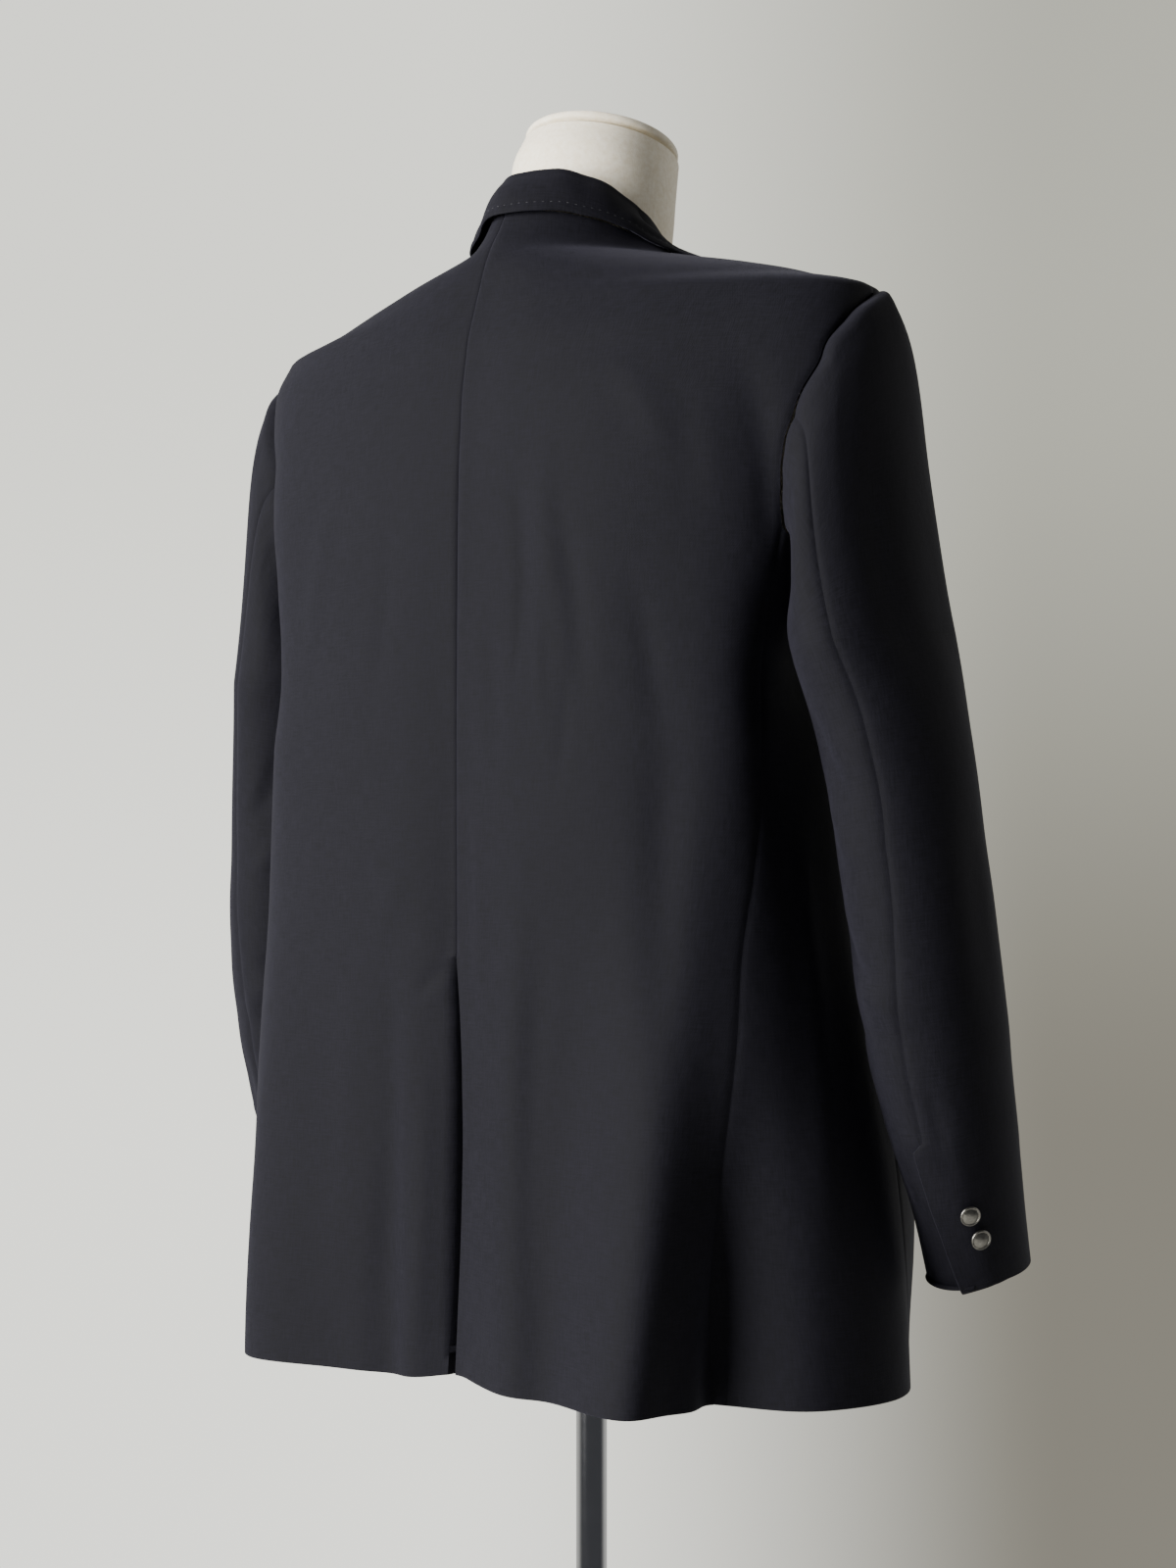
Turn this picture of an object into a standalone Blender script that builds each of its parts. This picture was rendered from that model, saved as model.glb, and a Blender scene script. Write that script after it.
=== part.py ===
"""Double-breasted blazer on a limbless dress form, in metres, +Z up.

The wearer faces -Y and the wearer's right is -X. The origin is the centre of the underside of the
stand's round base. Heights in the tables are measured from the hem, HEM_Z above the floor.

The cloth is a wall of even thickness. Every panel is a grid of points on one shared surface, so
neighbouring panels keep the same edge, parted by the seam gap.
"""
import math

import bmesh
import bpy
import numpy as np
from mathutils import Vector

# ---- driving dimensions ---------------------------------------------------------------------
HEM_Z = 0.680            # hem above the floor
CLOTH = 0.0020           # thickness of the cloth wall
SEAM_GAP = 0.0004        # clear space between two panels at a seam
LAY_GAP = 0.0012         # clear space between a button and the panel that it lies on
SHOULDER_H = 0.7365      # shoulder tip above the hem
ARMHOLE_SIDE_H = 0.575   # where the side panel's seams meet the armhole
ARMHOLE_LOW_H = 0.545    # lowest point of the armhole
SIDE_TOP_ANGLES = (75.2, 102.0)      # the side panel's upper corners, as angles from centre back
LEFT_DROP = 0.0120       # the left shoulder hangs this much lower
NECK_PULL = 0.0090       # the left half of the neck is drawn this much toward the centre
FOLD_DROP = 0.0100       # the collar's fold is this much lower on the left of the neck
EDGE_SAG = 0.9           # share of that drop followed by the edge of the fall
FOLD_DRAW = 0.080        # and drawn in by this share of its distance from the neck's middle
HEM_KICK = 0.0050        # the hem rises this much beside the vent
HANG_SHIFT = (0.0042, 0.0031)        # the blazer hangs this far off the form's middle, in X and Y
SLEEVE_SWAY = 0.0050     # both sleeves hang this much toward the wearer's right
NECK_BACK_H = 0.8100     # neckline at centre back
NECK_SIDE_H = 0.7850     # neckline at the shoulder seam
VENT_TOP_H = 0.290       # top of the centre back vent
VENT_GAP = 0.0019        # clear space under the vent's upper edge
VENT_COLUMNS = 4         # columns of the left back's grid that lie under the right back
VENT_LAP_ANGLE = 17.0    # how far they reach under it
VENT_FOLD_ANGLE = 1.5    # where the sunk part of the left back ends, above the vent
VENT_CLEAR_ANGLE = 5.5   # where the left back is level again beside the vent
BREAK_H = 0.415          # where the lapels begin to turn back
FRONT_LAP = 0.072        # each front reaches this far past the centre line
BUTTON_X = 0.055         # the two button columns, each side of the centre front
FRONT_BUTTON_R = 0.0110
CUFF_BUTTON_R = 0.0070
POLE_R = 0.0112
BASE_R = 0.170
BASE_T = 0.014
SOCKET_T = 0.012         # the pole's socket above the base
SOCKET_R = (0.022, 0.028)   # its radius at the top and at the base
BASE_CHAMFER = 0.006     # slope round the base's upper edge
REST_GAP = 0.0003        # clear space at each end of the pole
TORSO_LOW_H = 0.070      # underside of the form's torso, above the hem

# ---- the body's cross-sections --------------------------------------------------------------
# Each ring lies level. half_width is its reach to each side; back and front are its reach along
# Y at the centre lines; centre is the Y of its widest place; the powers shape the corners, 2 for
# an ellipse and more for a squarer ring.
BODY_COLUMNS = ("height", "half_width", "back", "front", "centre", "back_power", "front_power")
BODY_ROWS = (
    (0.000, 0.2520, 0.1650, -0.1380, 0.0400, 2.90, 2.40),
    (0.100, 0.2460, 0.1610, -0.1390, 0.0380, 2.90, 2.40),
    (0.200, 0.2370, 0.1575, -0.1400, 0.0350, 3.00, 2.40),
    (0.300, 0.2270, 0.1560, -0.1410, 0.0330, 3.10, 2.50),
    (0.430, 0.2110, 0.1545, -0.1430, 0.0300, 3.30, 2.60),
    (0.500, 0.1980, 0.1530, -0.1430, 0.0290, 3.40, 2.60),
    (0.550, 0.2020, 0.1520, -0.1400, 0.0280, 3.30, 2.60),
    (0.610, 0.2180, 0.1505, -0.1340, 0.0260, 3.00, 2.50),
    (0.650, 0.2305, 0.1480, -0.1270, 0.0240, 2.75, 2.40),
    (0.700, 0.2455, 0.1415, -0.1120, 0.0220, 2.30, 2.20),
    (0.7365, 0.2510, 0.1310, -0.0930, 0.0200, 1.95, 2.10),
    (0.7500, 0.2150, 0.1260, -0.0860, 0.0180, 1.85, 2.10),
    (0.7640, 0.1660, 0.1210, -0.0770, 0.0160, 1.80, 2.05),
    (0.7760, 0.1130, 0.1155, -0.0680, 0.0130, 1.75, 2.00),
    (0.7850, 0.0825, 0.1105, -0.0600, 0.0100, 1.70, 2.00),
    (0.8000, 0.0765, 0.1005, -0.0480, 0.0080, 1.75, 2.00),
    (0.8200, 0.0710, 0.0910, -0.0400, 0.0060, 1.80, 2.00),
)

# ---- the largest folds of the body ----------------------------------------------------------
# angle is measured from centre back, plus to the wearer's left; a fold leans from low_angle at
# its low end to high_angle at its high end. It is deepest at peak; depth is outward.
FOLD_COLUMNS = ("low_angle", "high_angle", "low", "peak", "high", "width", "depth")
FOLD_ROWS = (
    (-48.0, -60.0, -0.300, 0.000, 0.420, 8.5, 0.046),    # right back drape
    (-69.0, -69.0, -0.300, 0.000, 0.240, 5.5, -0.036),   # valley along the right back seam
    (-93.0, -88.0, -0.300, 0.000, 0.340, 13.0, 0.0235),  # right side drape
    (-68.0, -68.0, 0.300, 0.500, 0.660, 9.0, 0.015),     # the right back stays broad below
    (-78.0, -80.0, 0.400, 0.650, 0.810, 9.5, 0.029),     # and flat up to the right armhole
    (52.0, 60.0, -0.300, 0.000, 0.400, 9.0, 0.026),      # left back drape
    (24.0, 26.0, -0.300, 0.000, 0.300, 7.0, -0.008),     # shallow valley in the left back
    (70.0, 71.0, -0.300, 0.000, 0.200, 6.0, -0.014),     # valley along the left back seam
    (65.0, 65.0, 0.280, 0.560, 0.735, 9.5, 0.012),       # ease beside the left armhole
    (72.0, 72.0, 0.655, 0.712, 0.750, 14.0, 0.006),      # the left shoulder's end rounds over
    (90.0, 90.0, 0.150, 0.440, 0.560, 16.0, -0.0065),   # the left side gives way to the sleeve
    (0.0, 0.0, -0.300, 0.000, 0.600, 12.0, -0.0105),     # the back drawn in along its seam
    (0.0, 0.0, -0.050, 0.550, 0.900, 17.0, -0.0035),    # hollow between the shoulder blades
    (-27.0, -25.0, -0.300, 0.000, 0.300, 9.0, 0.010),    # right back swell beside the vent
    (27.0, 27.0, 0.755, 0.815, 0.950, 17.0, -0.0060),    # the left of the neck lies closer
    (-122.0, -118.0, -0.100, 0.110, 0.430, 15.0, 0.019),  # right front swell
)

# ---- seams as angles from centre back, alike on both sides ----------------------------------
SEAM_COLUMNS = ("height", "back_seam", "front_seam")
SEAM_ROWS = (
    (0.000, 69.0, 106.0),
    (0.100, 67.0, 105.0),
    (0.270, 68.8, 103.0),
    (0.350, 71.8, 102.3),
    (0.440, 73.7, 102.0),
    (ARMHOLE_SIDE_H, *SIDE_TOP_ANGLES),
)
ARMHOLE_COLUMNS = ("height", "back_edge", "front_edge")
ARMHOLE_ROWS = (
    (ARMHOLE_SIDE_H, *SIDE_TOP_ANGLES),
    (0.600, 73.6, 104.4),
    (0.624, 73.1, 105.8),
    (0.646, 73.7, 105.6),
    (0.682, 76.4, 102.8),
    (0.713, 81.2, 96.9),
    (0.7365, 90.0, 90.0),
)

# ---- roll line of the lapels: distance from centre front, minus once past it -----------------
ROLL_COLUMNS = ("height", "offset")
ROLL_ROWS = (
    (0.415, -0.072),
    (0.500, -0.034),
    (0.600, 0.008),
    (0.700, 0.046),
    (0.750, 0.063),
    (0.781, 0.074),
)

# ---- the sleeve below the armhole -----------------------------------------------------------
# x and y place the middle of a ring that lies square to the sleeve; twist turns its seams
# outward.
SLEEVE_COLUMNS = ("height", "x", "y", "half_width", "half_depth", "twist")
SLEEVE_ROWS = (
    (0.500, 0.2490, 0.0200, 0.0450, 0.0770, 14.0),
    (0.430, 0.2640, 0.0150, 0.0460, 0.0640, 16.0),
    (0.365, 0.2730, 0.0105, 0.0455, 0.0600, 14.0),
    (0.300, 0.2796, 0.0045, 0.0455, 0.0590, 9.0),
    (0.250, 0.2820, -0.0040, 0.0450, 0.0575, 5.0),
    (0.205, 0.2845, -0.0135, 0.0425, 0.0540, 4.5),
    (0.160, 0.2875, -0.0265, 0.0385, 0.0500, 6.5),
    (0.125, 0.2885, -0.0385, 0.0350, 0.0460, 13.0),
    (0.078, 0.2880, -0.0550, 0.0325, 0.0430, 26.0),
)

# ---- heights of the grid's rows -------------------------------------------------------------
LOW_ROWS = (0.0, 0.03, 0.07, 0.12, 0.17, 0.22, 0.27, 0.29, 0.34, 0.39, 0.44, 0.49, 0.535, 0.575)
SHOULDER_STEPS = 6
BACK_COLUMNS = 13


def monotone(knots, values, at):
    """Cubic through the knots that never overshoots them."""
    knots = np.asarray(knots, float)
    values = np.asarray(values, float)
    at = np.clip(np.asarray(at, float), knots[0], knots[-1])
    step = np.diff(knots)
    slope = np.diff(values) / step
    tangent = np.zeros(len(knots))
    tangent[0] = slope[0]
    tangent[-1] = slope[-1]
    for k in range(1, len(knots) - 1):
        if slope[k - 1] * slope[k] > 0:
            tangent[k] = 2 * slope[k - 1] * slope[k] / (slope[k - 1] + slope[k])
    cell = np.clip(np.searchsorted(knots, at) - 1, 0, len(knots) - 2)
    t = (at - knots[cell]) / step[cell]
    low = values[cell] + tangent[cell] * step[cell] * t
    high = values[cell + 1] - tangent[cell + 1] * step[cell] * (1 - t)
    ease = t * t * (3 - 2 * t)
    return low * (1 - ease) + high * ease


def read(columns, rows, column, at):
    """One named column of a table, read at any place along its first column."""
    ordered = sorted(rows)
    place = columns.index(column)
    return monotone([row[0] for row in ordered], [row[place] for row in ordered], at)


def body(column, height):
    return read(BODY_COLUMNS, BODY_ROWS, column, height)


def ease(value):
    value = np.clip(value, 0.0, 1.0)
    return value * value * (3 - 2 * value)


def fold_depth(angle, height):
    """How far the folds push the cloth outward."""
    angle = (angle + 180.0) % 360.0 - 180.0
    depth = np.zeros(np.shape(angle))
    for row in FOLD_ROWS:
        fold = dict(zip(FOLD_COLUMNS, row))
        along = np.clip((height - max(fold["low"], 0)) / (fold["high"] - max(fold["low"], 0)), 0, 1)
        middle = fold["low_angle"] + (fold["high_angle"] - fold["low_angle"]) * along
        rise = ease((height - fold["low"]) / (fold["peak"] - fold["low"]))
        fall = ease((fold["high"] - height) / (fold["high"] - fold["peak"]))
        depth = depth + fold["depth"] * rise * fall * np.exp(-((angle - middle) / fold["width"]) ** 2)
    return depth


def ring_radius(angle, height):
    """Reach of the body's ring from its centre in one direction."""
    turn = np.radians(angle)
    side = np.abs(np.sin(turn)) / body("half_width", height)
    behind = np.cos(turn) > 0
    centre = body("centre", height)
    depth = np.where(behind, body("back", height) - centre, centre - body("front", height))
    power = np.where(behind, body("back_power", height), body("front_power", height))
    along = np.abs(np.cos(turn)) / depth
    return (side ** power + along ** power) ** (-1 / power) + fold_depth(angle, height)


def shoulder_drop(x, height):
    """How far the left shoulder hangs below the right one."""
    return LEFT_DROP * ease((x - 0.02) / 0.17) * ease((height - 0.45) / 0.20)


def neck_pull(x, height):
    """How far the left half of the neck is drawn toward the centre."""
    return NECK_PULL * ease(x / 0.045) * ease((height - 0.745) / 0.050)


def body_point(angle, height):
    """Outer face of the cloth at an angle from centre back and a height above the hem."""
    angle, height = np.broadcast_arrays(np.asarray(angle, float), np.asarray(height, float))
    radius = ring_radius(angle, height)
    turn = np.radians(angle)
    x = radius * np.sin(turn)
    y = body("centre", height) + radius * np.cos(turn)
    kick = HEM_KICK * np.exp(-((angle + 3.0) / 12.0) ** 2) * ease((0.100 - height) / 0.100)
    z = height + HEM_Z - shoulder_drop(x, height) + kick
    return np.stack([x - neck_pull(x, height) + HANG_SHIFT[0], y + HANG_SHIFT[1], z], axis=-1)


def body_normal(angle, height):
    """Outward direction of the cloth."""
    turn_step, rise_step = 1.5, 0.006
    around = body_point(angle + turn_step, height) - body_point(angle - turn_step, height)
    upward = body_point(angle, height + rise_step) - body_point(angle, height - rise_step)
    normal = np.cross(upward, around)
    return normal / np.linalg.norm(normal, axis=-1, keepdims=True)


def seam_angle(column, height):
    return read(SEAM_COLUMNS, SEAM_ROWS, column, height)


def armhole_angle(column, height):
    return read(ARMHOLE_COLUMNS, ARMHOLE_ROWS, column, height)


def gap_angle(angle, height):
    """Half of the seam gap as an angle."""
    return np.degrees(0.5 * SEAM_GAP / ring_radius(angle, height))


def neck_height(angle):
    """Height of the neckline behind the shoulder seams."""
    return NECK_SIDE_H + (NECK_BACK_H - NECK_SIDE_H) * np.cos(np.radians(angle))


def front_angle(offset, height):
    """Angle on the front where the cloth is this far from the centre, plus to its own side."""
    half = body("half_width", height)
    centre = body("centre", height)
    power = body("front_power", height)
    depth = centre - body("front", height)
    along = depth * (1 - np.minimum(np.abs(offset) / half, 0.999) ** power) ** (1 / power)
    return 180.0 - np.degrees(np.arctan2(offset, along))


# ---- making meshes --------------------------------------------------------------------------
def material(name, colour, roughness, metallic=0.0):
    made = bpy.data.materials.get(name) or bpy.data.materials.new(name)
    made.use_nodes = True
    shader = made.node_tree.nodes["Principled BSDF"]
    shader.inputs["Base Color"].default_value = (*colour, 1.0)
    shader.inputs["Roughness"].default_value = roughness
    shader.inputs["Metallic"].default_value = metallic
    return made


def add_object(name, mesh, finish):
    piece = bpy.data.objects.new(name, mesh)
    bpy.data.collections["blazer on dress form"].objects.link(piece)
    mesh.materials.append(finish)
    return piece


def wall(name, outer, inner, finish):
    """A closed sheet of cloth from its outer and inner grids of points, rows by columns."""
    rows, columns = outer.shape[:2]
    made = bmesh.new()
    out = [[made.verts.new(point) for point in line] for line in outer]
    inn = [[made.verts.new(point) for point in line] for line in inner]
    for r in range(rows - 1):
        for c in range(columns - 1):
            made.faces.new((out[r][c], out[r][c + 1], out[r + 1][c + 1], out[r + 1][c]))
            made.faces.new((inn[r][c], inn[r + 1][c], inn[r + 1][c + 1], inn[r][c + 1]))
    for c in range(columns - 1):
        made.faces.new((out[0][c + 1], out[0][c], inn[0][c], inn[0][c + 1]))
        made.faces.new((out[-1][c], out[-1][c + 1], inn[-1][c + 1], inn[-1][c]))
    for r in range(rows - 1):
        made.faces.new((out[r][0], out[r + 1][0], inn[r + 1][0], inn[r][0]))
        made.faces.new((out[r + 1][-1], out[r][-1], inn[r][-1], inn[r + 1][-1]))
    bmesh.ops.recalc_face_normals(made, faces=made.faces)
    mesh = bpy.data.meshes.new(name)
    made.to_mesh(mesh)
    made.free()
    mesh.shade_smooth()
    mesh.set_sharp_from_angle(angle=math.radians(50))
    return add_object(name, mesh, finish)


def body_panel(name, angles, heights, finish, lift=0.0):
    """A panel of the body; lift moves it off the shared surface, outward for plus."""
    normal = body_normal(angles, heights)
    outer = body_point(angles, heights) + normal * np.asarray(lift)[..., None]
    return wall(name, outer, outer - normal * CLOTH, finish)


def spread(start, end, count, sign=1.0):
    """Grid of angles, row by row, from one edge to the other."""
    share = np.linspace(0.0, 1.0, count)
    return sign * (start[:, None] + (end - start)[:, None] * share[None, :])


def body_rows():
    """Row heights up to the shoulder tip."""
    armhole_rows = [row[0] for row in ARMHOLE_ROWS[1:]]
    return np.array(list(LOW_ROWS) + armhole_rows)


def shoulder_rows(angles_high):
    """Heights of the rows between the shoulder tip and the neckline."""
    share = np.linspace(0.0, 1.0, SHOULDER_STEPS + 1)[1:]
    return [SHOULDER_H + (neck_height(angles_high) - SHOULDER_H) * s for s in share]


def outer_edge(heights, seam, armhole):
    """Angle of a panel's outer edge: a side seam, then the armhole, then the shoulder seam."""
    low = seam_angle(seam, heights)
    high = armhole_angle(armhole, heights)
    return np.where(heights <= ARMHOLE_SIDE_H, low, high)


def make_back(side, finish):
    """One back panel. The left one runs on under the right one below the top of the vent."""
    columns = BACK_COLUMNS
    heights = body_rows()
    heights = np.concatenate([heights, np.full(SHOULDER_STEPS, SHOULDER_H)])
    edge = outer_edge(heights, "back_seam", "back_edge")
    edge = edge - gap_angle(edge, heights)
    middle = gap_angle(0.0, heights)
    angles = spread(middle, edge, columns)
    levels = np.repeat(heights[:, None], columns, axis=1)
    for step, row in enumerate(shoulder_rows(angles[-1])):
        levels[len(body_rows()) + step] = row
    if side == "right":
        return body_panel("back_right", -angles, levels, finish)
    tucked = heights < VENT_TOP_H + 0.001
    below = heights < VENT_TOP_H - 0.001
    share = np.linspace(1.0, 0.0, VENT_COLUMNS)
    lap = np.full((len(edge), 1), -VENT_LAP_ANGLE) * share[None, :]
    start = middle[:, None] + VENT_FOLD_ANGLE * (1.0 - share[None, :])
    angles[:, VENT_COLUMNS:] = spread(middle + VENT_CLEAR_ANGLE, edge, columns - VENT_COLUMNS)
    angles[:, :VENT_COLUMNS] = np.where(below[:, None], lap, start)
    lift = np.zeros(angles.shape)
    lift[:, :VENT_COLUMNS] = np.where(tucked[:, None], -(CLOTH + VENT_GAP), 0.0)
    return body_panel("back_left", angles, levels, finish, lift)


def armhole_low(angle):
    """Height of the armhole's lower edge, over the side panel."""
    back, front = SIDE_TOP_ANGLES
    off = (2.0 * angle - back - front) / (front - back)
    return ARMHOLE_LOW_H + (ARMHOLE_SIDE_H - ARMHOLE_LOW_H) * off ** 2


def side_grid(columns=7, steady_rows=11):
    """Angles and heights of a side panel, whose top is the armhole's lower edge."""
    heights = np.array(LOW_ROWS)
    start = seam_angle("back_seam", heights)
    end = seam_angle("front_seam", heights)
    angles = spread(start + gap_angle(start, heights), end - gap_angle(end, heights), columns)
    levels = np.repeat(heights[:, None], columns, axis=1)
    base = heights[steady_rows]
    top = np.minimum(armhole_low(angles[-1]), ARMHOLE_SIDE_H)
    for row in range(steady_rows + 1, len(heights)):
        share = (heights[row] - base) / (heights[-1] - base)
        levels[row] = base + (top - base) * share
    return angles, levels


def make_side(side, finish):
    sign = 1.0 if side == "left" else -1.0
    angles, levels = side_grid()
    return body_panel("side_" + side, sign * angles, levels, finish)


def front_edge_angle(heights):
    """Angle of the front's free edge, and above the break of its roll line."""
    offset = np.where(heights < BREAK_H, -FRONT_LAP, read(ROLL_COLUMNS, ROLL_ROWS, "offset", heights))
    return front_angle(offset, heights)


UNDER_LIFT = -0.0013     # the left front where it lies under the right one
OVER_LIFT = 0.0058       # the right front where it passes over the left front and its lapel
CORNER_CUT = 13.0        # the front's upper corner is cut back by this angle, under the collar
CORNER_CUT_H = 0.766     # from this height up


def front_lift(angles, side):
    """The left front lies under the right one where they lap."""
    reach = ease((angles - 142.0) / 14.0)
    return (UNDER_LIFT if side == "left" else OVER_LIFT) * reach


def make_front(side, finish):
    columns = 11
    heights = body_rows()
    roll_top = ROLL_ROWS[-1][0]
    share = np.linspace(0.0, 1.0, SHOULDER_STEPS + 1)[1:]
    heights = np.concatenate([heights, SHOULDER_H + (NECK_SIDE_H - SHOULDER_H) * share])
    edge = outer_edge(np.minimum(heights, SHOULDER_H), "front_seam", "front_edge")
    edge = edge + gap_angle(edge, heights)
    corner_cut = CORNER_CUT * ease((heights - CORNER_CUT_H) / (NECK_SIDE_H - CORNER_CUT_H))
    angles = spread(edge, front_edge_angle(np.minimum(heights, roll_top)) - corner_cut, columns)
    levels = np.repeat(heights[:, None], columns, axis=1)
    lift = front_lift(angles, side)
    sign = 1.0 if side == "left" else -1.0
    return body_panel("front_" + side, sign * angles, levels, finish, lift)


# ---- sleeves --------------------------------------------------------------------------------
def armhole_loop():
    """The armhole's corners as angle and height: up the back, down the front, along the side."""
    rows = np.array([row[0] for row in ARMHOLE_ROWS])
    back = [(armhole_angle("back_edge", h), h) for h in rows]
    front = [(armhole_angle("front_edge", h), h) for h in rows[::-1][1:]]
    angles, levels = side_grid()
    low = [(a, h) for a, h in zip(angles[-1][::-1], levels[-1][::-1])][1:-1]
    return np.array(back + front + low)


ARMHOLE_MIDDLE = (0.0151, 0.640)     # Y and height of the armhole's middle
ARMHOLE_REACH = (0.062, 0.096)       # half of its size along Y and upward
SEAM_BACK_CORNER = 3                 # corner of the armhole where the back seam starts
SEAM_FRONT_CORNER = 11               # corner where the front seam starts


def loop_points(loop, inset, sign):
    """Armhole corners on one side, as if on the left, moved into the opening by the inset."""
    points = body_point(sign * loop[:, 0], loop[:, 1])
    points[:, 0] *= sign
    middle = np.array([0.0, ARMHOLE_MIDDLE[0], ARMHOLE_MIDDLE[1] + HEM_Z])
    inward = middle - points
    inward[:, 0] = 0.0
    inward /= np.linalg.norm(inward, axis=1, keepdims=True)
    return points + inward * inset


def loop_bearings(points):
    """Bearing of each corner: 0 behind, 90 on top, 180 in front, 270 below."""
    back = (points[:, 1] - ARMHOLE_MIDDLE[0]) / ARMHOLE_REACH[0]
    up = (points[:, 2] - HEM_Z - ARMHOLE_MIDDLE[1]) / ARMHOLE_REACH[1]
    return np.degrees(np.arctan2(up, back))


def sleeve(column, height):
    return read(SLEEVE_COLUMNS, SLEEVE_ROWS, column, height)


def sleeve_hang(sign):
    """How far a sleeve hangs from its place in the table: inward, forward and down."""
    inward = sign * (SLEEVE_SWAY - HANG_SHIFT[0])
    return np.array([inward, -HANG_SHIFT[1], LEFT_DROP if sign > 0 else 0.0])


def sleeve_middle(height):
    return np.array([sleeve("x", height), sleeve("y", height), height + HEM_Z])


def sleeve_ring(bearings, height, shrink=0.0):
    """A ring square to the sleeve; shrink draws it inward."""
    step = 0.004
    along = sleeve_middle(height - step) - sleeve_middle(height + step)
    along /= np.linalg.norm(along)
    behind = np.array([0.0, 1.0, 0.0])
    behind = behind - along * along.dot(behind)
    behind /= np.linalg.norm(behind)
    outward = np.cross(behind, along)
    outward *= np.sign(outward[0])
    turn = np.radians(bearings + float(sleeve("twist", height)))
    width = sleeve("half_width", height) - shrink
    depth = sleeve("half_depth", height) - shrink
    return (sleeve_middle(height) + np.outer(np.sin(turn) * width, outward)
            + np.outer(np.cos(turn) * depth, behind))


CUFF_H = 0.078
SLEEVE_SEAM_GAP = 0.0003     # each half of a sleeve stops this far from its seam
TUBE_ROWS = (0.50, 0.465, 0.43, 0.39, 0.35, 0.31, 0.27, 0.235, 0.20, 0.17, 0.14, 0.11, CUFF_H)
CAP_STEPS = 6
CAP_FULLNESS = (0.025, 0.014)        # how far the cap runs out from the armhole, and more on top
CAP_SPREAD = 0.35                    # how far it leaves toward the back and the front
CAP_SLOPE = (-0.35, 0.30)            # how far it leaves downward, and less on top
CAP_DRAW = 0.62                      # share of the cap that follows the sleeve's line
CAP_SWELL = 0.0060                   # the cap's swell over the outer arm


def sleeve_grid(shrink, sign):
    """Points of the whole sleeve, rows down its length and columns round it."""
    loop = armhole_loop()
    start = loop_points(loop, SEAM_GAP + shrink, sign)
    bearings = loop_bearings(loop_points(loop, 0.0, -1.0))
    drop = sleeve_hang(sign)
    ring = sleeve_ring(bearings, TUBE_ROWS[0], shrink) - drop
    upward = sleeve_middle(TUBE_ROWS[0]) - sleeve_middle(TUBE_ROWS[1])
    upward /= np.linalg.norm(upward)
    topness = np.sin(np.radians(bearings))
    leave = np.stack([np.ones(len(loop)), CAP_SPREAD * np.cos(np.radians(bearings)),
                      CAP_SLOPE[0] + CAP_SLOPE[1] * topness], axis=1)
    leave /= np.linalg.norm(leave, axis=1, keepdims=True)
    reach = np.linalg.norm(start - ring, axis=1)
    first = start + leave * (CAP_FULLNESS[0] + CAP_FULLNESS[1] * topness)[:, None]
    second = ring + upward * (CAP_DRAW * reach)[:, None]
    second[:, 0] += CAP_SWELL * np.maximum(topness, 0.0)
    rows = []
    for s in np.linspace(0.0, 1.0, CAP_STEPS + 1)[:-1]:
        rows.append(start * (1 - s) ** 3 + first * 3 * s * (1 - s) ** 2
                    + second * 3 * s * s * (1 - s) + ring * s ** 3)
    rows += [sleeve_ring(bearings, height, shrink) - drop for height in TUBE_ROWS]
    points = np.array(rows)
    points[..., 0] *= sign
    return points


def sleeve_wall(name, columns, sign, finish):
    """Part of the sleeve between two seams, drawn in a little at each."""
    outer = sleeve_grid(0.0, sign)[:, columns]
    inner = sleeve_grid(CLOTH, sign)[:, columns]
    for grid in (outer, inner):
        for edge, beside in ((0, 1), (-1, -2)):
            step = grid[:, beside] - grid[:, edge]
            grid[:, edge] += step / np.linalg.norm(step, axis=1, keepdims=True) * SLEEVE_SEAM_GAP
    return wall(name, outer, inner, finish)


def make_sleeve(side, finish):
    sign = 1.0 if side == "left" else -1.0
    count = len(armhole_loop())
    top = list(range(SEAM_BACK_CORNER, SEAM_FRONT_CORNER + 1))
    under = list(range(SEAM_FRONT_CORNER, count)) + list(range(0, SEAM_BACK_CORNER + 1))
    sleeve_wall("topsleeve_" + side, top, sign, finish)
    sleeve_wall("undersleeve_" + side, under, sign, finish)


# ---- collar and lapels ----------------------------------------------------------------------
# The collar's fold line from centre back round to the lapel, the lower edge of its fall and the
# neckline beside its stand, these two as an angle and a height on the body.
COLLAR_COLUMNS = ("step", "fold_x", "fold_y", "fold_h", "edge_angle", "edge_h",
                  "stand_angle", "stand_h")
COLLAR_ROWS = (
    (0.0, 0.0000, 0.0820, 0.8390, 0.0, 0.8050, 0.0, 0.8100),
    (1.0, 0.0240, 0.0770, 0.8400, 20.0, 0.8060, 19.0, 0.8086),
    (2.0, 0.0455, 0.0610, 0.8355, 38.0, 0.8030, 38.0, 0.8047),
    (3.0, 0.0610, 0.0370, 0.8240, 56.0, 0.7975, 60.0, 0.7975),
    (4.0, 0.0670, 0.0150, 0.8110, 74.0, 0.7885, 83.0, 0.7880),
    (5.0, 0.0690, -0.0130, 0.7990, 94.0, 0.7800, 108.0, 0.7868),
    (6.0, 0.0675, -0.0590, 0.7830, 113.0, 0.7680, 135.0, 0.7700),
    (7.0, 0.0605, -0.0965, 0.7440, 129.6, 0.7350, 152.0, 0.7365),
    (8.0, 0.0515, -0.1115, 0.7170, 139.7, 0.7060, 158.4, 0.7110),
)
COLLAR_STEPS = (0.0, 0.6, 1.2, 1.8, 2.4, 3.0, 3.5, 4.0, 4.5, 5.0, 5.25, 5.5, 5.75, 6.0, 6.35, 6.7, 7.1,
                7.55, 8.0)
STAND_RISE = 0.0026          # the stand's lower edge above the neckline
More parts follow.
